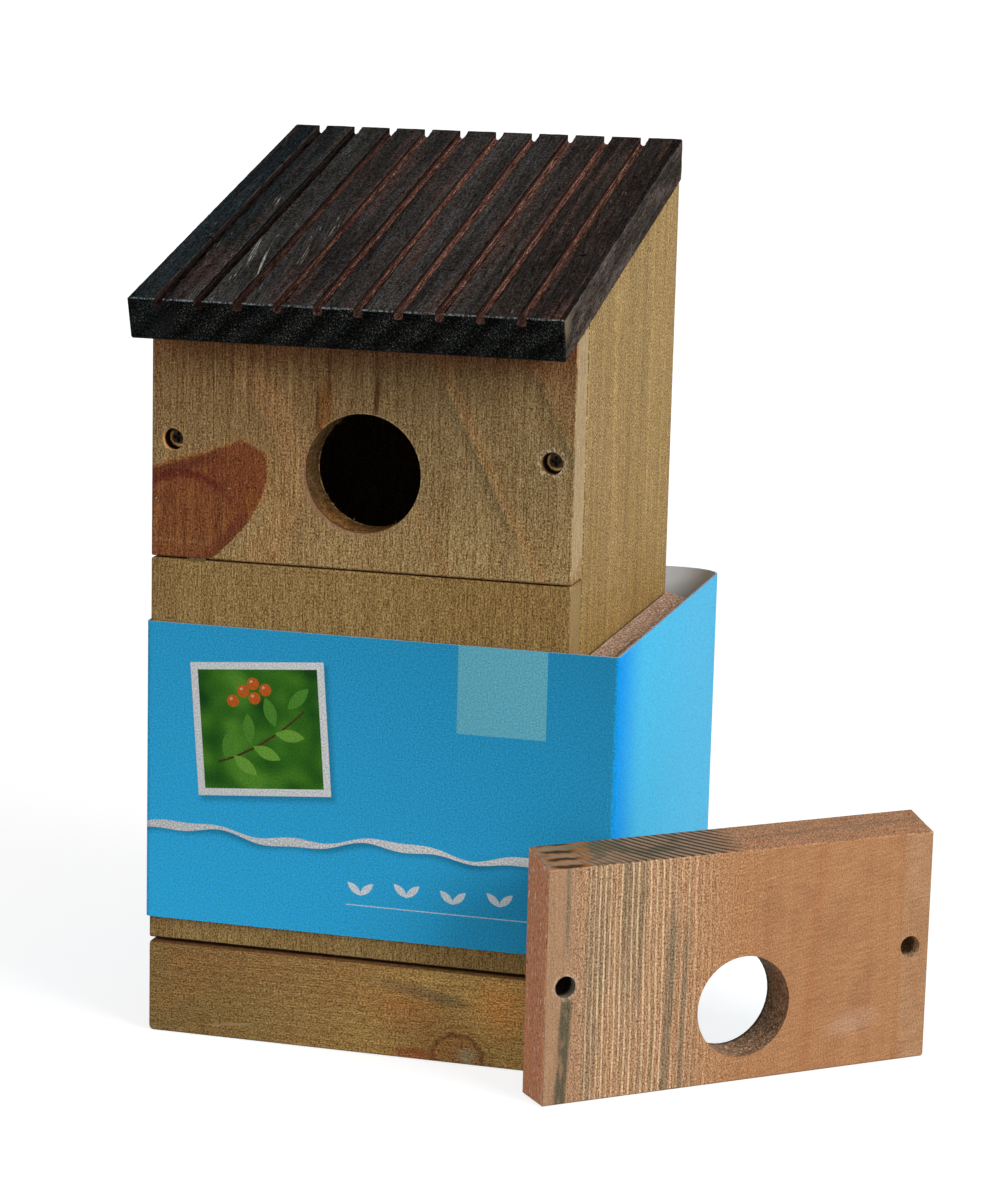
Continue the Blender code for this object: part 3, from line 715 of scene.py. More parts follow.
def standing_plate_holes(wood):
    """The bored walls are browner, and the left counterbore is grey with a pale chipped lip; both
    counterbores are darker deeper in as painted shade, pale specks on the hole's lower wall are painted
    glints, and the hole's wall is darker towards its rear edge.
    """
    wall = wood.shaded((0.33, 0.175, 0.09), 0.5, 1.4, 6)
    # Pale specks on the lower wall: painted glints.
    pale = wood.specks((1.3, 1.3, 1.3), 0.64, 0.02) * rise(wood.v, SPARE_HOLE_PLACE[1] + 2, 8)
    wall = wood.mix(pale * 0.8, wall, (0.85, 0.6, 0.42))
    rough = wood.grained((0.7, 0.4, 0.7), 3, 0.75)
    wall = wood.brighter(wall, -0.4 + rough * 2.8)
    # The wall darker towards its rear edge.
    darker_to_rear = wood.mix(rise(wood.w, 10.5, 11.6), wall, (0.06, 0.035, 0.02))
    wood.paint(wood.bore(SPARE_HOLE_PLACE, SPARE_HOLE_RADIUS), darker_to_rear)
    # Deeper in the counterbores: painted shade, near black in the left one and darker brown in the right
    # one.
    depth = rise(wood.w + wood.fleck * 1.5, 4.2, 2.6)
    grey = wood.mix(depth, (0.02, 0.016, 0.011), wood.shaded((0.24, 0.2, 0.14), 0.3, 0.4, 2))
    wood.paint(wood.bore(LEFT_BORE, BORE_RADIUS), grey)
    brown = wood.mix(depth, (0.22, 0.14, 0.075), (0.5, 0.33, 0.19))
    brown = wood.shaded(brown, 0.6, 1.4, 6)
    wood.paint(wood.bore(RIGHT_BORE, BORE_RADIUS), brown)
    wood.chip_rim(LEFT_BORE, BORE_RADIUS, (0.6, 0.5, 0.37), 1.1)


def plate_stains(wood):
    """Grey-green stains: below the left screw hole, and bands down the ridged half."""
    u, v = wood.u, wood.v
    wobble = wood.wobble((0.5, 0.5, 0.12), 1.3, 3)
    below_hole = band(u - v * 0.045 + wobble, 3.6, 6.8, 0.6) * rise(v, 30.5, 27)
    above_hole = band(u + wobble, 5.6, 6.6, 0.5) * rise(v, 38, 46) * 0.5
    leaning = u + wobble - v * 0.03
    second = most(band(leaning, 34.8, 37, 0.8), band(leaning, 39.6, 41.2, 0.8)) * rise(v, 56, 38)
    third = most(band(leaning, 20.6, 22, 0.5), band(leaning, 26.2, 27.2, 0.4)) * rise(v, 26, 58)
    patchy = wood.patches((0.5, 0.5, 0.13), 0.36, 0.52)
    wood.paint(below_hole * (0.5 + patchy * 0.42), (0.11, 0.102, 0.062))
    wood.paint(above_hole * 1.4, (0.2, 0.17, 0.11))
    wood.paint(second * 0.66, (0.19, 0.16, 0.1))
    wood.paint(third * 0.55, (0.2, 0.165, 0.1))


def standing_top_grain(wood, top):
    """The sawn end grain on top: dark diagonal rings, and three torn bands at its left end."""
    u, w = wood.u, wood.w
    wobble = wood.wobble((0.25, 0.25, 0.25), 2)
    base = wood.mix(rise(u, 46, 62), (0.33, 0.205, 0.125), (0.41, 0.2, 0.1))
    mossy = wood.patches((0.09, 0.2, 0.1), 0.48, 0.6)
    base = wood.mix(mossy * rise(u, 60, 45) * 0.75, base, (0.12, 0.112, 0.066))
    ring = fract(wood.from_pith / 1.65)
    dark = hump(ring, 0.38, 0.62, 0.9, 1)
    strength = 0.5 + rise(u, 16, 30) * 0.47
    rings = dark * strength * hump(u, 9, 12, 52, 62)
    base = wood.mix(rings, base, (0.026, 0.022, 0.011))
    middle = band(w + wobble * 0.4 - u * 0.02, 3.6, 5.4, 0.8)
    base = wood.mix(middle * rise(u, 55, 75) * 0.35, base, (0.15, 0.1, 0.06))
    sawn = wood.noise((u * 0.1, w * 0.9, 4), 3, 0.65)
    base = wood.mix(rise(sawn, 0.48, 0.64) * rise(u, 50, 66) * 0.6, base, (0.23, 0.145, 0.088))
    green = blob(u, w, (9, 9.5), (6, 3), 0, 0.5)
    base = wood.mix(green * 0.6, base, (0.2, 0.19, 0.12))
    bars = fract((w + wobble + u * 0.05 + 0.4) / 3.6)
    reach = rise(u, 0.8, 2) * rise(u - w * 0.35, 13.5, 11.5)
    burnt = band(bars, 0.12, 0.66, 0.12) * reach
    base = wood.mix(burnt * 0.9, base, (0.36, 0.14, 0.034))
    torn = band(bars, 0.26, 0.6, 0.07) * reach * hump(u, 1, 3.5, 9, 13)
    base = wood.mix(torn * 0.95, base, (0.03, 0.026, 0.012))
    wood.paint(top, base)


def small_spare_wood():
    """The plate in the sleeve shows its rough pinkish end grain, with a fine crack and painted glints."""
    low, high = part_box("spare_plate_25")
    turn = Matrix.Rotation(math.pi / 2, 3, "Z")
    wood = Wood("small_spare_wood", (high.x, low.y, low.z), turn, pith=(70, 120), pitch=1.9)
    u, w = wood.u, wood.w
    wood.colour = wood.mix(wood.tint, (0.54, 0.355, 0.25), (0.42, 0.265, 0.175))
    wood.paint(wood.late * 0.3, (0.24, 0.13, 0.08))
    rough = wood.noise((u * 1.4, w * 1.4, 0))
    wood.brighten(0.35 + rough * 1.3)
    wood.shade(0.5, 1.2, 5.5)
    dark = rise(wood.noise((u * 0.9, w * 1.6, 3)), 0.46, 0.38)
    wood.paint(dark * 0.6, (0.15, 0.075, 0.045))
    # Painted glints: small near-white specks.
    light = rise(wood.noise((u * 1.1, w * 1.1, 7), 1), 0.6, 0.65)
    wood.paint(light * 0.8, (0.9, 0.8, 0.7))
    bend = (wood.noise((u * 0.3, 0, 0)) - 0.5) * 2
    crack = rise(abs(w + bend - 6.5), 0.3, 0.1) * band(u, 24, 52, 4)
    wood.paint(crack * 0.8, (0.06, 0.035, 0.02))
    return wood.finish(wood.relief() + rough * 0.8, 0.2)


def roof_place():
    """The front left corner of the roof's seat, with u across, w up the slope and v out of the roof."""
    seat = Vector((corner("roof_board").x, corner("base_rail").y, FRONT_HEIGHT_MM * MM))
    return seat, Matrix.Rotation(ROOF_SLOPE, 3, "X")


# The stain's tone across the roof, from its left edge
STAIN_TONES = ((0, (0.008, 0.0118, 0.0135)), (0.09, (0.008, 0.0112, 0.0125)),
               (0.16, (0.0235, 0.0235, 0.0222)), (0.3, (0.0188, 0.017, 0.0162)),
               (0.45, (0.0218, 0.0188, 0.0178)), (0.66, (0.029, 0.0265, 0.025)),
               (0.85, (0.019, 0.0145, 0.0118)), (1, (0.0118, 0.0089, 0.0077)))


def roof_wood():
    """Dark brown stain, near black on the left, with bare reddish wood in the saw grooves."""
    origin, rotation = roof_place()
    wood = Wood("roof_stained_wood", origin, rotation, grain="w", pith=(40, -26), pitch=2.4, wander=3,
                roughness=0.5, specular=0)
    u, s, v = wood.u, wood.w, wood.v
    roof_stain(wood, u, s)
    roof_scratches(wood, u, s)
    roof_arrises(wood, u, s, v)
    roof_grooves(wood, u, s, v)
    roof_front_grain(wood, u, s, v)
    roof_sides(wood, u, s, v)
    under = rise(v, 0.25, 0.05)
    wood.paint(under, wood.shaded((0.1, 0.06, 0.035), 0.8, 0.9, 1.8))
    return wood.finish(wood.relief(late=0.7, streak=1), 0.16, 0.45 + wood.fleck * 0.35)


def roof_stain(wood, u, s):
    """The stain: a tone for each strip, clouds, and warm and black streaks up the slope."""
    strip = wood.math("FLOOR", (u - FIRST_GROOVE_MM) / GROOVE_PITCH_MM)
    tone = wood.noise((strip * 3.7, 0.4, 0), 0)
    wood.colour = wood.ramp(u / ROOF_WIDTH_MM, STAIN_TONES)
    cloud = wood.grained((0.1, 0.1, 0.022))
    wood.brighten(0.1 + tone * 0.5 + cloud * 1.4)
    streaks = wood.grained((0.38, 0.38, 0.016), 3, 0.6)
    right_half = rise(u, 20, 55)
    warm = rise(streaks, 0.52, 0.66) * (0.3 + right_half * 0.45)
    wood.paint(warm, (0.052, 0.027, 0.021))
    black = rise(streaks, 0.48, 0.36) * (0.2 + right_half * 0.45)
    wood.paint(black, (0.009, 0.0078, 0.0074))
    wood.paint(blob(u, s, (14, 8), (5, 18), 0, 0.7) * 0.5, (0.042, 0.02, 0.016))
    wood.paint(wood.late * 0.3, (0.007, 0.006, 0.006))
    wood.shade(1.6, 2.8, 7.5)
    wood.brighten(1.6)


def roof_sides(wood, u, s, v):
    """The board's two side faces: patchy, with a pale top arris and a worn front corner."""
    side = most(rise(u, 0.15, 0), rise(u, ROOF_WIDTH_MM - 0.15, ROOF_WIDTH_MM))
    patches = wood.grained((0.2, 0.28, 0.07), 3, 0.65)
    tone = wood.mix(rise(patches, 0.42, 0.66), (0.047, 0.04, 0.034), (0.115, 0.088, 0.076))
    wood.paint(side, wood.shaded(tone, 2.4, 2.4, 5))
    pale_arris = side * rise(v, 11, 11.3)
    wood.paint(pale_arris * 0.7, (0.3, 0.3, 0.27))
    worn_corner = side * blob(s, v, (-13.5, 10), (4.5, 4), 0, 0.8)
    wood.paint(worn_corner * 0.6, (0.28, 0.22, 0.14))


# Ends of the deepest scratches, across the roof and up it
DEEP_SCRATCHES = (((29.7, 1.6), (25.4, 28.3)), ((17.9, 7.8), (16.9, 15.6)), ((16.2, 58.5), (15.5, 65.9)),
                  ((37.8, 13.9), (36.6, 25.2)), ((39.2, 37.2), (38.8, 45.5)), ((10, 43.8), (9.1, 53.4)),
                  ((23.8, 14.3), (21.4, 32.5)))


def roof_scratches(wood, u, s):
    """Pale hairline scratches a little off the grain, most on the second to fourth strips."""
    off_grain = u + s * 0.12
    fine = wood.noise((off_grain * 3.4, 0, s * 0.045), 0)
    place = wood.grained((0.1, 0.1, 0.03), 1)
    strips = band(u, 10.5, 41, 2) * rise(s, 85, 45)
    far_strip = band(u, 84, 116, 6) * 0.5
    shown = most(strips, far_strip, 0.25)
    faint = rise(fine, 0.52, 0.66) * rise(place, 0.34, 0.5) * shown
    wood.paint(faint * 0.5, (0.085, 0.078, 0.07))
    few = wood.noise((off_grain * 4.2, 5, s * 0.13), 0)
    broken = rise(wood.noise((u * 2, 0, s * 0.8)), 0.42, 0.55)
    bright = rise(few, 0.745, 0.785) * rise(place, 0.42, 0.5) * shown * broken
    for start, end in DEEP_SCRATCHES:
        du, ds = end[0] - start[0], end[1] - start[1]
        middle = ((start[0] + end[0]) / 2, (start[1] + end[1]) / 2)
        reach = (math.hypot(du, ds) / 2, 0.6)
        scratch = blob(u, s, middle, reach, math.atan2(ds, du), 0.5)
        across = u + s * (-du / ds)
        hairs = wood.noise((across * 2.4, start[0], s * 0.06), 0)
        hair = scratch * rise(hairs, 0.5, 0.66) * (0.25 + broken * 0.75)
        bright = most(bright, hair)
    wood.paint(bright * 0.75, (0.6, 0.62, 0.54))


def roof_arrises(wood, u, s, v):
    """Worn, paler lines along the strips' edges and along the top front edge."""
    worn = wood.grained((1.5, 1.5, 0.12), 3, 0.7)
    groove_start = FIRST_GROOVE_MM - GROOVE_WIDTH_MM / 2
    phase = fract((u - groove_start) / GROOVE_PITCH_MM) * GROOVE_PITCH_MM
    edge = most(rise(phase, GROOVE_PITCH_MM - 0.35, GROOVE_PITCH_MM - 0.1),
                band(phase, GROOVE_WIDTH_MM - 0.1, GROOVE_WIDTH_MM + 0.3, 0.1))
    line = edge * rise(v, 11.2, 11.35) * rise(worn, 0.42, 0.6)
    wood.paint(line * 0.7, (0.13, 0.08, 0.062))
    front = rise(s, ROOF_FRONT_MM + 0.55, ROOF_FRONT_MM + 0.2) * rise(v, 11, 11.25)
    broken = wood.noise((u * 1.9, v, s), 3, 0.8)
    wood.paint(front * rise(broken, 0.46, 0.58) * 0.85, (0.27, 0.34, 0.36))


def roof_grooves(wood, u, s, v):
    """Bare reddish-brown wood in the grooves, darker in the first two."""
    in_groove = hump(v, 9, 9.15, 11.1, 11.3) * band(u, 2, 116, 0.5)
    in_groove = in_groove * rise(s, ROOF_FRONT_MM + 0.05, ROOF_FRONT_MM + 0.3)
    far_right = rise(u, 22, 34)
    bare = wood.mix(far_right, (0.04, 0.025, 0.021), (0.34, 0.155, 0.115))
    stripes = wood.grained((2.4, 2.4, 0.12), 2, 0.7)
    bare = wood.mix(rise(stripes, 0.35, 0.66), wood.brighter(bare, 0.22), bare)
    stained = rise(v + (stripes - 0.5) * 1.2, 9.9, 10.5)
    stain = wood.mix(far_right, (0.026, 0.021, 0.02), (0.012, 0.009, 0.008))
    bare = wood.mix(stained * 0.9, bare, stain)
    glint = rise(stripes, 0.54, 0.66) * rise(wood.fleck, 0.45, 0.6) * rise(u, 30, 42)
    bare = wood.mix(glint * (1 - stained) * 0.8, bare, (0.74, 0.5, 0.33))
    near_dark = rise(s, 6, -14)
    bare = wood.mix(near_dark * 0.65, bare, (0.045, 0.022, 0.018))
    bare = wood.brighter(bare, 1 + hump(u, 36, 60, 96, 112) * 0.4)
    bare = wood.shaded(bare, 0.4, 1.2, 6)
    wood.paint(in_groove, bare)


def roof_front_grain(wood, u, s, v):
    """The sawn front end: near black, with fine diagonal grey-green specks and ring lines at its left."""
    front = rise(s, ROOF_FRONT_MM + 0.1, ROOF_FRONT_MM - 0.03)
    along = u - v
    across = u + v
    grainy = wood.noise((along * 1.1, across * 3, 0), 2, 0.8)
    cloud = wood.noise((u * 0.12, v * 0.25, 0))
    specks = rise(grainy + cloud * 0.1, 0.6, 0.8)
    base = wood.mix(specks, (0.005, 0.0062, 0.0066), (0.27, 0.265, 0.21))
    hatch = wood.noise((along * 0.25, across * 1.9, 4), 1, 0.6)
    base = wood.brighter(base, -0.15 + hatch * 2.1)
    bands = fract((u - v * 1.1 + wood.sway * 8) / 11)
    base = wood.brighter(base, 0.6 + band(bands, 0.3, 0.8, 0.2) * 0.8)
    purple = blob(u, v, (10.5, 4.5), (2.2, 4.5), -0.5, 0.6)
    base = wood.mix(purple * 0.5, base, (0.02, 0.016, 0.018))
    lines = fract((v + u * u * 0.02) / 1.25)
    left = band(lines, 0.3, 0.7, 0.2) * rise(u, 12, 7)
    base = wood.mix(left * 0.6, base, (0.016, 0.022, 0.022))
    wood.paint(front, base)


def screw_zinc(name):
    """Yellow passivated screw whose head is painted dark as painted shade, with a painted highlight on the
    lower left of the ring about a recess painted black as painted shade.
    """
    low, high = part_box(name)
    metal = Finish(f"{name}_zinc", 0.38, 0.75)
    middle = (low + high) / 2
    u, w, v = metal.own_place((middle.x, low.y, middle.z))
    cloud = metal.noise((u * 0.9, w * 0.9, v * 0.9), 3, 0.6)
    wavy = distance(u, v) + (cloud - 0.5) * 0.9
    head = rise(w, 1.8, 1.5)
    metal.colour = metal.mix(rise(cloud, 0.35, 0.65), (0.62, 0.4, 0.13), (0.3, 0.19, 0.08))
    # Painted shade: the head dark brown.
    painted_head_shade = metal.mix(cloud, (0.03, 0.016, 0.008), (0.075, 0.042, 0.018))
    metal.paint(head, painted_head_shade)
    # Painted highlight: a golden arc on the lower left of the ring.
    low_left = rise(u + v, 0.3, -1.2)
    rim = head * band(wavy, 1.9, 2.45, 0.15) * low_left
    metal.paint(rim * 0.9, (0.62, 0.38, 0.12))
    # Painted shade: the recess near black.
    metal.paint(head * rise(wavy, 1.5, 1.2), (0.012, 0.008, 0.005))
    roughness = 0.28 + cloud * 0.4
    return metal.finish(cloud, 0.02, roughness)


def leaf(u, v, middle, turn, length, width):
    """A pointed leaf about its middle, with a parabola for each side."""
    along, across = turned(u, v, middle, turn)
    share = along * (2 / length)
    half = (1 - share * share) * (width / 2)
    return rise(half - abs(across), -0.1, 0.1)


def rectangle(along, up, size, grow=0, soft=0.08):
    """1 inside a rectangle about the origin, grown on all its sides."""
    half_width, half_height = size[0] / 2 + grow, size[1] / 2 + grow
    return (rise(abs(along), half_width + soft, half_width - soft)
            * rise(abs(up), half_height + soft, half_height - soft))


def card_print():
    """Blue card with a plain pale block, a wavy white line, and a framed sprig of rowan."""
    low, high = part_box("card_sleeve")
    g = Finish("blue_card_print", 0.5, specular=0.03)
    u, w, v = g.own_place((low.x, low.y, low.z))
    tall = (high.z - low.z) / MM
    grainy = g.noise((u * 2.2, w * 2.2, v * 2.2), 2, 0.7)
    # The blue grows darker towards the top and the right: painted shade.
    g.colour = g.brighter((0.038, 0.5, 0.92), 1.16 - (v * 0.003 + u * 0.0029))
    front = rise(w, 1.6, 1)
    side = rise(u, 130.95, 131.4)
    edge_blue = g.mix(rise(w, 34, 0), (0.08, 0.62, 1), (0.004, 0.37, 0.98))
    g.paint(side, edge_blue)
    printed_block(g, u, v, front)
    printed_wave(g, u, v, front)
    printed_panel(g, u, v, front)
    printed_row(g, u, v, front)
    g.brighten(0.15 + grainy * 1.7)
    scuff = rise(g.noise((u * 0.6, w * 0.6, v * 2.2), 3, 0.7), 0.72, 0.8)
    near_edge = most(rise(v, 0.7, 0.2), rise(v, tall - 0.6, tall - 0.2))
    g.paint(scuff * near_edge * 0.7, (0.75, 0.8, 0.82))
    return g.finish(grainy, 0.012)


def printed_block(g, u, v, front):
    block = band(u, 88, 112.5, 0.06) * rise(v, 58.9, 59.1) * front
    g.paint(block * 0.8, (0.17, 0.52, 0.62))


def printed_wave(g, u, v, front):
    """A smooth white line in two waves across the front, with a shadow under it."""
    middle = 25.6 + sine(u * 0.115) * 1.3 + sine(u * 0.31 + 1) * 0.55
    half = 0.85 + sine(u * 0.19) * 0.4
    off = v - middle
    shadow = hump(off, -3.2, -0.6, 0, 0.2) * front
    g.paint(shadow * 0.6, (0.01, 0.12, 0.22))
    white = rise(half - abs(off), -0.08, 0.08) * front
    grey = g.noise((u * 2, v * 2, 0))
    g.paint(white, g.ramp(grey, [(0.35, (0.55, 0.56, 0.57)), (0.6, (0.86, 0.86, 0.86))]))


# The printed sprig: middle and turn of each leaf, and the middles of the berries
SPRIG_LEAVES = (((-9.5, -4.2), 1.35), ((-5, -10), -0.7), ((-3.4, 0.2), 1.6), ((1.4, -6.6), -0.45),
                ((3, 4.8), 1.85), ((8.2, -1.8), -0.15), ((11.2, 8.4), 0.75))
SPRIG_BERRIES = ((-1.2, 8.6), (2, 10.9), (-4.3, 10.6), (-1.4, 12.6), (-7.4, 7.9))


def printed_panel(g, u, v, front):
    """A white-framed green picture of a sprig with round orange berries."""
    centre, size, turn = (33, 55.5), (34, 33), 0.075
    along, up = turned(u, v, centre, turn)
    shadow = rectangle(*turned(u - 0.9, v + 1.1, centre, turn), size, 2.3, 1.3)
    g.paint(shadow * front * 0.5, (0.01, 0.11, 0.2))
    g.paint(rectangle(along, up, size, 2) * front, (0.8, 0.82, 0.82))
    picture = rectangle(along, up, size) * front
    hazy = g.noise((along * 0.09, up * 0.09, 2), 1)
    green = g.ramp(hazy, [(0.3, (0.012, 0.07, 0.012)), (0.5, (0.04, 0.17, 0.015)), (0.68, (0.1, 0.3, 0.03))])
    g.paint(picture, green)
    stem_bend = -4 + along * 0.55 + along * along * 0.012
    stem = rise(abs(up - stem_bend), 0.42, 0.25) * rise(abs(along), 13, 12.5)
    g.paint(stem * picture, (0.07, 0.035, 0.015))
    for number, (place, turn) in enumerate(SPRIG_LEAVES):
        tone = (0.17, 0.4, 0.05) if number % 2 else (0.09, 0.28, 0.035)
        shape = leaf(along, up, place, turn, 8.5, 3.4)
        g.paint(shape * picture, tone)
    for place in SPRIG_BERRIES:
        berry = blob(along, up, place, (1.7, 1.7), 0, 0.06)
        g.paint(berry * picture, (0.62, 0.13, 0.02))
        shine = blob(along, up, (place[0] - 0.5, place[1] + 0.6), (0.45, 0.35), 0.4, 0.5)
        g.paint(shine * picture * 0.7, (0.9, 0.6, 0.4))


def printed_row(g, u, v, front):
    """A row of small white leaf pairs below the line."""
    for number in range(PRINTED_PAIRS):
        place = FIRST_PAIR_MM + PAIR_STEP_MM * number
        for side in (-1, 1):
            shape = leaf(u, v, (place + side * 1.7, 13.6 + 0.6 * (number % 2)), side * 0.75, 5.2, 2)
            g.paint(shape * front * 0.92, (0.82, 0.86, 0.88))
    rule = rise(abs(v - 9), 0.2, 0.1) * band(u, 58, 119, 0.1) * front
    g.paint(rule * 0.8, (0.72, 0.82, 0.88))


def clouded(name, tones, scales, roughness, metallic=0.0, specular=0.5, grain=0.5, detail=2.0,
            relief_mm=0.02):
    """A plain material whose colour and relief follow one noise."""
    g = Finish(name, roughness, metallic, specular)
    u, w, v = g.own_place()
    cloud = g.noise((u * scales[0], w * scales[1], v * scales[2]), detail, grain)
    g.colour = g.mix(cloud, *tones)
    return g.finish(cloud, relief_mm)


def bright_steel():
    return clouded("bright_steel", ((0.5, 0.5, 0.5), (0.33, 0.32, 0.31)), (2, 2, 2), 0.35, 1.0,
                   grain=0.6, relief_mm=0.01)


def stained_plug():
    """The roof's brads are sunk and stained over."""
    return clouded("stained_brad", ((0.012, 0.01, 0.009), (0.03, 0.022, 0.019)), (2, 2, 2), 0.7,
                   specular=0.03, grain=0.6)


def card_inside():
    """The unprinted white side of the card."""
    return clouded("white_card", ((0.86, 0.88, 0.88), (0.94, 0.95, 0.95)), (1.2, 1.2, 1.2), 0.75,
                   specular=0.25, grain=0.6, detail=3)


def splinter_wood():
    return clouded("splinter_wood", ((0.62, 0.44, 0.25), (0.4, 0.25, 0.12)), (1, 1, 0.3), 0.7,
                   specular=0.3)


def torn_fibre_wood():
    return clouded("torn_fibre_wood", ((0.36, 0.25, 0.11), (0.2, 0.13, 0.055)), (2, 2, 1), 0.8,
                   specular=0.1)


def card_cut_edge():
    """The card's cut edge: grey-white board, tinted where the print's ink runs over."""
    g = Finish("card_edge", 0.8, specular=0.2)
    u, w, v = g.own_place()
    pulp = g.noise((u * 2.0, w * 2.0, v * 2.0))
    g.colour = g.mix(rise(pulp, 0.4, 0.6), (0.1, 0.36, 0.66), (0.5, 0.6, 0.68))
    return g.finish()


def added(name, data):
    """A new object in the scene."""
    made = bpy.data.objects.new(name, data)
    bpy.context.scene.collection.objects.link(made)
    return made


def mesh_from(shape, name, finishes):
    mesh = bpy.data.meshes.new(name)
    shape.to_mesh(mesh)
    shape.free()
    for finish in finishes:
        mesh.materials.append(finish)
    return mesh


def welded(mesh):
    """A CAD mesh whose faces share their corners."""
    shape = bmesh.new()
    shape.from_mesh(mesh)
    bmesh.ops.remove_doubles(shape, verts=shape.verts, dist=WELD_MM * MM)
    return shape


def smooth_by_angle(mesh, degrees):
    """Smooth shading over edges less sharp than the angle, in place of the CAD's own normals."""
    cad_normals = mesh.attributes.get("custom_normal")
    if cad_normals:
        mesh.attributes.remove(cad_normals)
    mesh.polygons.foreach_set("use_smooth", [True] * len(mesh.polygons))
    mesh.set_sharp_from_angle(angle=math.radians(degrees))


def dressed_sleeve():
    """The card band with print outside, white inside and pale cut edges."""
    shape = welded(frame["nodes"]["card_sleeve"].data)
    finishes = card_print(), card_inside(), card_cut_edge()
    piece = added("printed_sleeve", mesh_from(shape, "printed_sleeve", finishes))
    smooth_by_angle(piece.data, SLEEVE_SMOOTH)
    low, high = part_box("card_sleeve")
    middle = (low + high) / 2
    for face in piece.data.polygons:
        if abs(face.normal.z) > CUT_EDGE_NORMAL:
            face.material_index = 2
            continue
        outward = Vector((face.center.x - middle.x, face.center.y - middle.y, 0.0))
        face.material_index = 0 if face.normal.dot(outward) > 0 else 1
    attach(piece, "sleeve")
    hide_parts("card_sleeve")


def add_spike(shape, start, direction, length, width):
    """A flat, four-sided sliver of wood that tapers to a point."""
    direction = Vector(direction).normalized()
    side = direction.orthogonal().normalized()
    other = direction.cross(side)
    ring = [shape.verts.new(Vector(start) + side * width * a + other * width * SLIVER_FLATNESS * b)
            for a, b in ((1, 0), (0, 1), (-1, 0), (0, -1))]
    tip = shape.verts.new(Vector(start) + direction * length)
    shape.faces.new(ring[::-1])
    for first, second in zip(ring, ring[1:] + ring[:1]):
        shape.faces.new((first, second, tip))


def spikes_piece(name, spikes, finish):
    shape = bmesh.new()
    for spike in spikes:
        add_spike(shape, *spike)
    bmesh.ops.recalc_face_normals(shape, faces=shape.faces)
    piece = added(name, mesh_from(shape, name, [finish]))
    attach(piece, "box")


def splinters():
    """Raised slivers at the front right corner, the seam above the middle panel and the entrance hole."""
    low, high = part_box("entrance_plate_32")
    chance = random.Random(11)
    pale = splinter_wood()
    spikes_piece("corner_splinters", corner_splinters(high.x, low.y, low.z), pale)
    spikes_piece("seam_fibres", seam_fibres(low, chance), torn_fibre_wood())
    spikes_piece("entrance_fibres", entrance_fibres(low, chance), pale)


def corner_splinters(x, y, seam):
    return [((x, y, seam + 4 * MM), (0.1, -0.35, 1), 3.2 * MM, 0.3 * MM),
            ((x - 0.2 * MM, y, seam - 0.3 * MM), (0.1, -0.2, -1), 2.2 * MM, 0.28 * MM),
            ((x - 0.5 * MM, y, seam - 0.9 * MM), (0, -0.15, -1), 1.5 * MM, 0.22 * MM),
            ((x - 0.4 * MM, y, seam + 0.6 * MM), (0.6, -0.4, 0.5), 1.6 * MM, 0.3 * MM)]


def seam_fibres(low, chance):
    """Fibres that cross the seam under the plate's left part."""
    fibres = []
    for _ in range(SEAM_FIBRES):
        foot = Vector((low.x + chance.uniform(10.3, 15.6) * MM, low.y + chance.uniform(0, 0.4) * MM,
                       low.z - chance.uniform(0, 0.9) * MM))
        lean = (chance.uniform(-0.5, 0.5), chance.uniform(-0.25, 0.05), chance.choice((-1, 1)))
        fibres.append((foot, lean, chance.uniform(0.4, 0.9) * MM, chance.uniform(0.1, 0.2) * MM))
    return fibres


def entrance_fibres(low, chance):
    """Fibres round the rear edge of the entrance hole."""
    fibres = []
    centre = Vector((low.x + HOLE_PLACE[0] * MM, 0, low.z + HOLE_PLACE[1] * MM))
    for _ in range(ENTRANCE_FIBRES):
        angle = chance.uniform(0, 2 * math.pi)
        cos, sin = math.cos(angle), math.sin(angle)
        depth = low.y + chance.uniform(9.5, 12) * MM
        foot = centre + Vector((cos * HOLE_RADIUS * MM, depth, sin * HOLE_RADIUS * MM))
        lean = Vector((-cos * chance.uniform(0.2, 1), chance.uniform(0.2, 1),
                       -sin * 0.4 + chance.uniform(-0.8, 0.8)))
        fibres.append((foot, lean, chance.uniform(0.5, 1.5) * MM, chance.uniform(0.06, 0.12) * MM))
    return fibres


def roughened(shape, depth):
    """Dents the middle line of the rounded arrises, and leaves the board's faces flat."""
    for point in shape.verts:
        if all(face.calc_area() < WORN_FACE_MM2 * MM * MM for face in point.link_faces):
            dent = noise.noise(point.co * WEAR_RATE) + 0.5 * noise.noise(point.co * WEAR_RATE * 2.7)
            point.co -= point.normal * depth * max(0.0, dent + 0.25)


def brad_heads():
    """Where the roof's brads are, so that an arris cut by one of their holes stays sharp."""
    heads = []
    for name in frame["nodes"]:
        if "roof_brad" in name:
            low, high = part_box(name)
            heads.append(Vector(((low.x + high.x) / 2, (low.y + high.y) / 2, high.z)))
    return heads


def passes_head(edge, heads):
    first, second = edge.verts[0].co, edge.verts[1].co
    for head in heads:
        share = intersect_point_line(head, first, second)[1]
        closest = first.lerp(second, min(max(share, 0.0), 1.0))
        if (closest - head).length < BRAD_CLEAR_MM * MM:
            return True
    return False


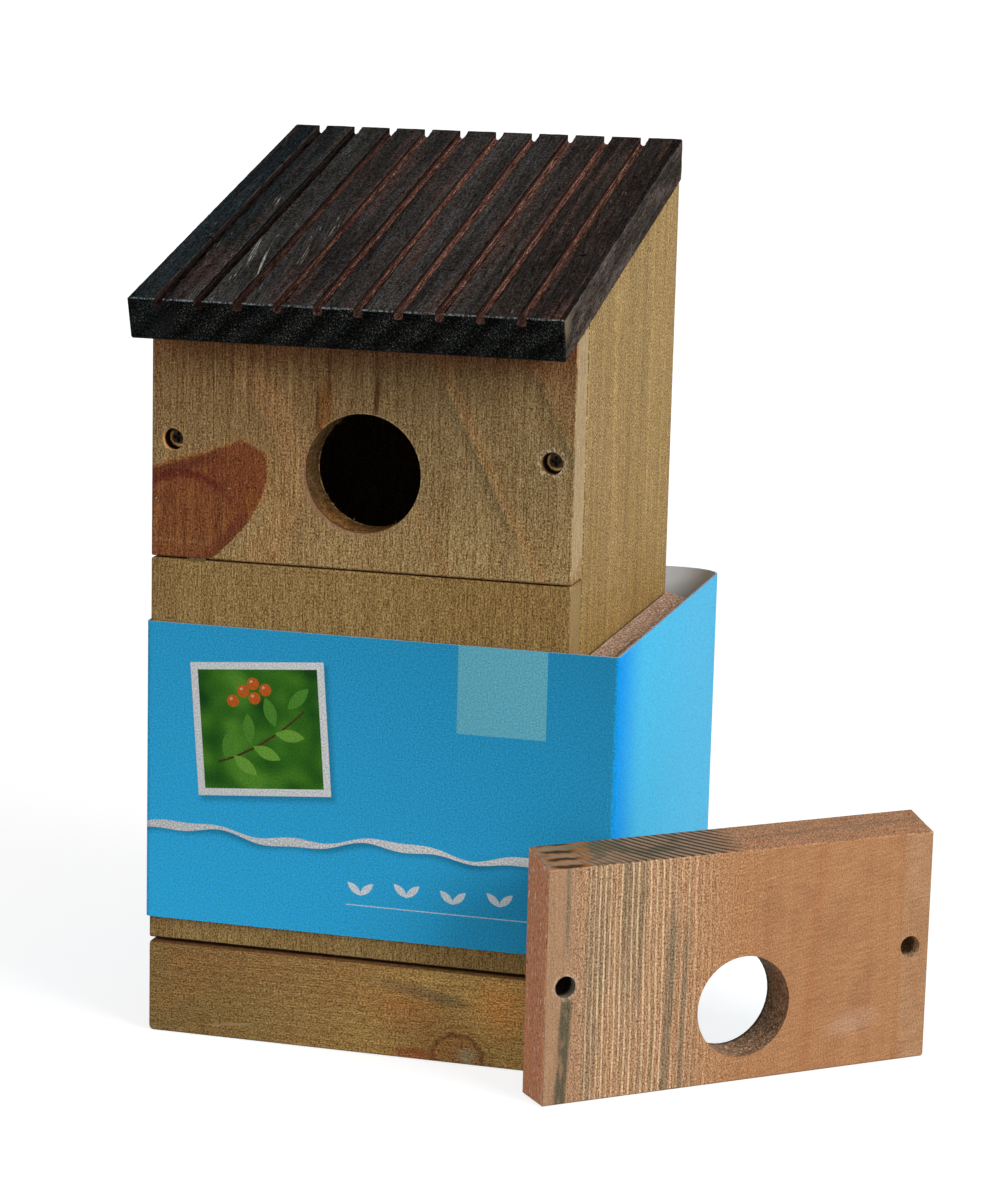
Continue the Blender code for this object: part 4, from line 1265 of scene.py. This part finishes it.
def worn_board(name, body, finish, wear_mm=0.3):
    """A board with its long arrises rounded and dented by wear, in place of the sharp CAD board."""
    shape = welded(frame["nodes"][name].data)
    bmesh.ops.dissolve_limit(shape, angle_limit=math.radians(1.0), verts=shape.verts, edges=shape.edges)
    worn = shape.edges.layers.int.new("worn")
    heads = brad_heads()
    for edge in shape.edges:
        is_long = edge.calc_length() > SHORTEST_WORN_MM * MM
        is_sharp = edge.calc_face_angle(0.0) > SHARP_ARRIS
        edge[worn] = is_long and is_sharp and not passes_head(edge, heads)
    for edge in [edge for edge in shape.edges if edge[worn]]:
        cuts = int(edge.calc_length() / (WEAR_STEP_MM * MM))
        bmesh.ops.subdivide_edges(shape, edges=[edge], cuts=cuts)
    bmesh.ops.bevel(shape, geom=[edge for edge in shape.edges if edge[worn]], offset=wear_mm * MM,
                    segments=2, affect="EDGES", profile=0.6)
    roughened(shape, wear_mm * MM)
    bmesh.ops.triangulate(shape, faces=shape.faces)
    piece = added(f"{name}_worn", mesh_from(shape, f"{name}_worn", [finish]))
    smooth_by_angle(piece.data, BOARD_SMOOTH)
    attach(piece, body)
    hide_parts(name)


def boards():
    """Every board that shows gets its own wood and worn arrises."""
    left_wood = tan_box_wood("left_panel_wood", (-BOX_RIGHT, BOX_FRONT, 0.0), (-80.0, 30.0))
    back_wood = tan_box_wood("back_panel_wood", (-BOX_RIGHT, BACK_PANEL_FRONT, 0.0), (50.0, 90.0))
    worn_board("right_side_panel", "box", side_wood())
    worn_board("left_side_panel", "box", left_wood)
    worn_board("back_panel", "box", back_wood)
    worn_board("entrance_plate_32", "box", plate_wood())
    worn_board("middle_front_panel", "box", middle_wood())
    worn_board("base_rail", "box", rail_wood())
    worn_board("roof_board", "box", roof_wood(), 0.4)
    worn_board("spare_plate_28", "standing_spare_plate", standing_plate_wood())
    worn_board("spare_plate_25", "small_spare_plate", small_spare_wood())


def dress_nodes():
    """New materials on the CAD nodes whose shape is shown as it is."""
    brad = bright_steel()
    plug = stained_plug()
    finishes = {
        "floor_board": tan_box_wood("floor_wood", (-BOX_RIGHT, BOX_FRONT, -0.010), (30.0, 70.0)),
        "plate_screw_left": screw_zinc("plate_screw_left"),
        "plate_screw_right": screw_zinc("plate_screw_right"),
    }
    for name, node in frame["nodes"].items():
        finish = finishes.get(name, brad if "brad" in name else None)
        if "roof_brad" in name:
            finish = plug
        if finish is not None:
            node.data.materials.clear()
            node.data.materials.append(finish)


def camera():
    """The camera that sees the box as the photograph does."""
    yaw = Matrix.Rotation(CAMERA_YAW, 3, "Z")
    upright = Matrix(((1, 0, 0), (0, 0, -1), (0, 1, 0)))
    pitch = Matrix.Rotation(CAMERA_PITCH, 3, "X")
    roll = Matrix.Rotation(CAMERA_ROLL, 3, "Z")
    look = roll @ pitch @ upright @ yaw
    right, down, ahead = look.row[0], look.row[1], look.row[2]
    made = added("camera", bpy.data.cameras.new("camera"))
    turn = Matrix((right, -down, -ahead)).transposed()
    made.matrix_world = Matrix.Translation(CAMERA_AT) @ turn.to_4x4()
    made.data.sensor_width = SENSOR_MM
    made.data.lens = FOCAL_PIXELS / PICTURE_HEIGHT * SENSOR_MM
    bpy.context.scene.camera = made


def area_light(name, place, aim, size, power):
    made = added(name, bpy.data.lights.new(name, "AREA"))
    made.location = place
    made.rotation_euler = (Vector(aim) - Vector(place)).to_track_quat("-Z", "Y").to_euler()
    made.data.size = size
    made.data.energy = power


def lights():
    middle = (0.0, 0.0, 0.12)
    area_light("key", (1.75, -0.75, 1.15), middle, 1.1, 34.0)
    area_light("fill", (-1.1, -1.9, 0.9), middle, 1.6, 11.0)
    area_light("overhead", (0.1, -0.3, 2.2), middle, 1.6, 9.0)


def world():
    """A pale surround, which direct rays see as white."""
    made = bpy.data.worlds.new("studio")
    made.use_nodes = True
    bpy.context.scene.world = made
    g = Graph(made.node_tree)
    surround = g.tree.nodes["Background"]
    g.put(surround.inputs["Color"], WHITE)
    g.put(surround.inputs["Strength"], SURROUND_STRENGTH)
    white = g.node("ShaderNodeBackground", {"Color": WHITE, "Strength": 1.0})
    shown = g.node("ShaderNodeMixShader", {0: g.direct_ray(), 1: Value(g, surround.outputs[0]), 2: white})
    g.put(g.tree.nodes["World Output"].inputs["Surface"], shown)


def floor():
    """A wide white floor. Direct rays see it lifted to white, and it keeps the shadow."""
    low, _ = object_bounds()
    g = Finish("floor_white", 0.9, specular=0.0)
    g.colour = FLOOR_TONE
    g.put(g.shader.inputs["Emission Color"], WHITE)
    across, deep, _ = g.own_place()
    lift = 0.79 + rise(distance(across, deep), 100.0, 1700.0) * 0.2
    g.put(g.shader.inputs["Emission Strength"], g.direct_ray() * lift)
    shape = bmesh.new()
    bmesh.ops.create_grid(shape, x_segments=1, y_segments=1, size=FLOOR_REACH)
    made = added("floor", mesh_from(shape, "floor", [g.finish()]))
    made.location = (0.0, 0.0, low.z - FLOOR_DROP)
    made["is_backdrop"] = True


bpy.context.scene.view_settings.view_transform = "Standard"
camera()
dress_nodes()
boards()
dressed_sleeve()
splinters()
floor()
lights()
world()
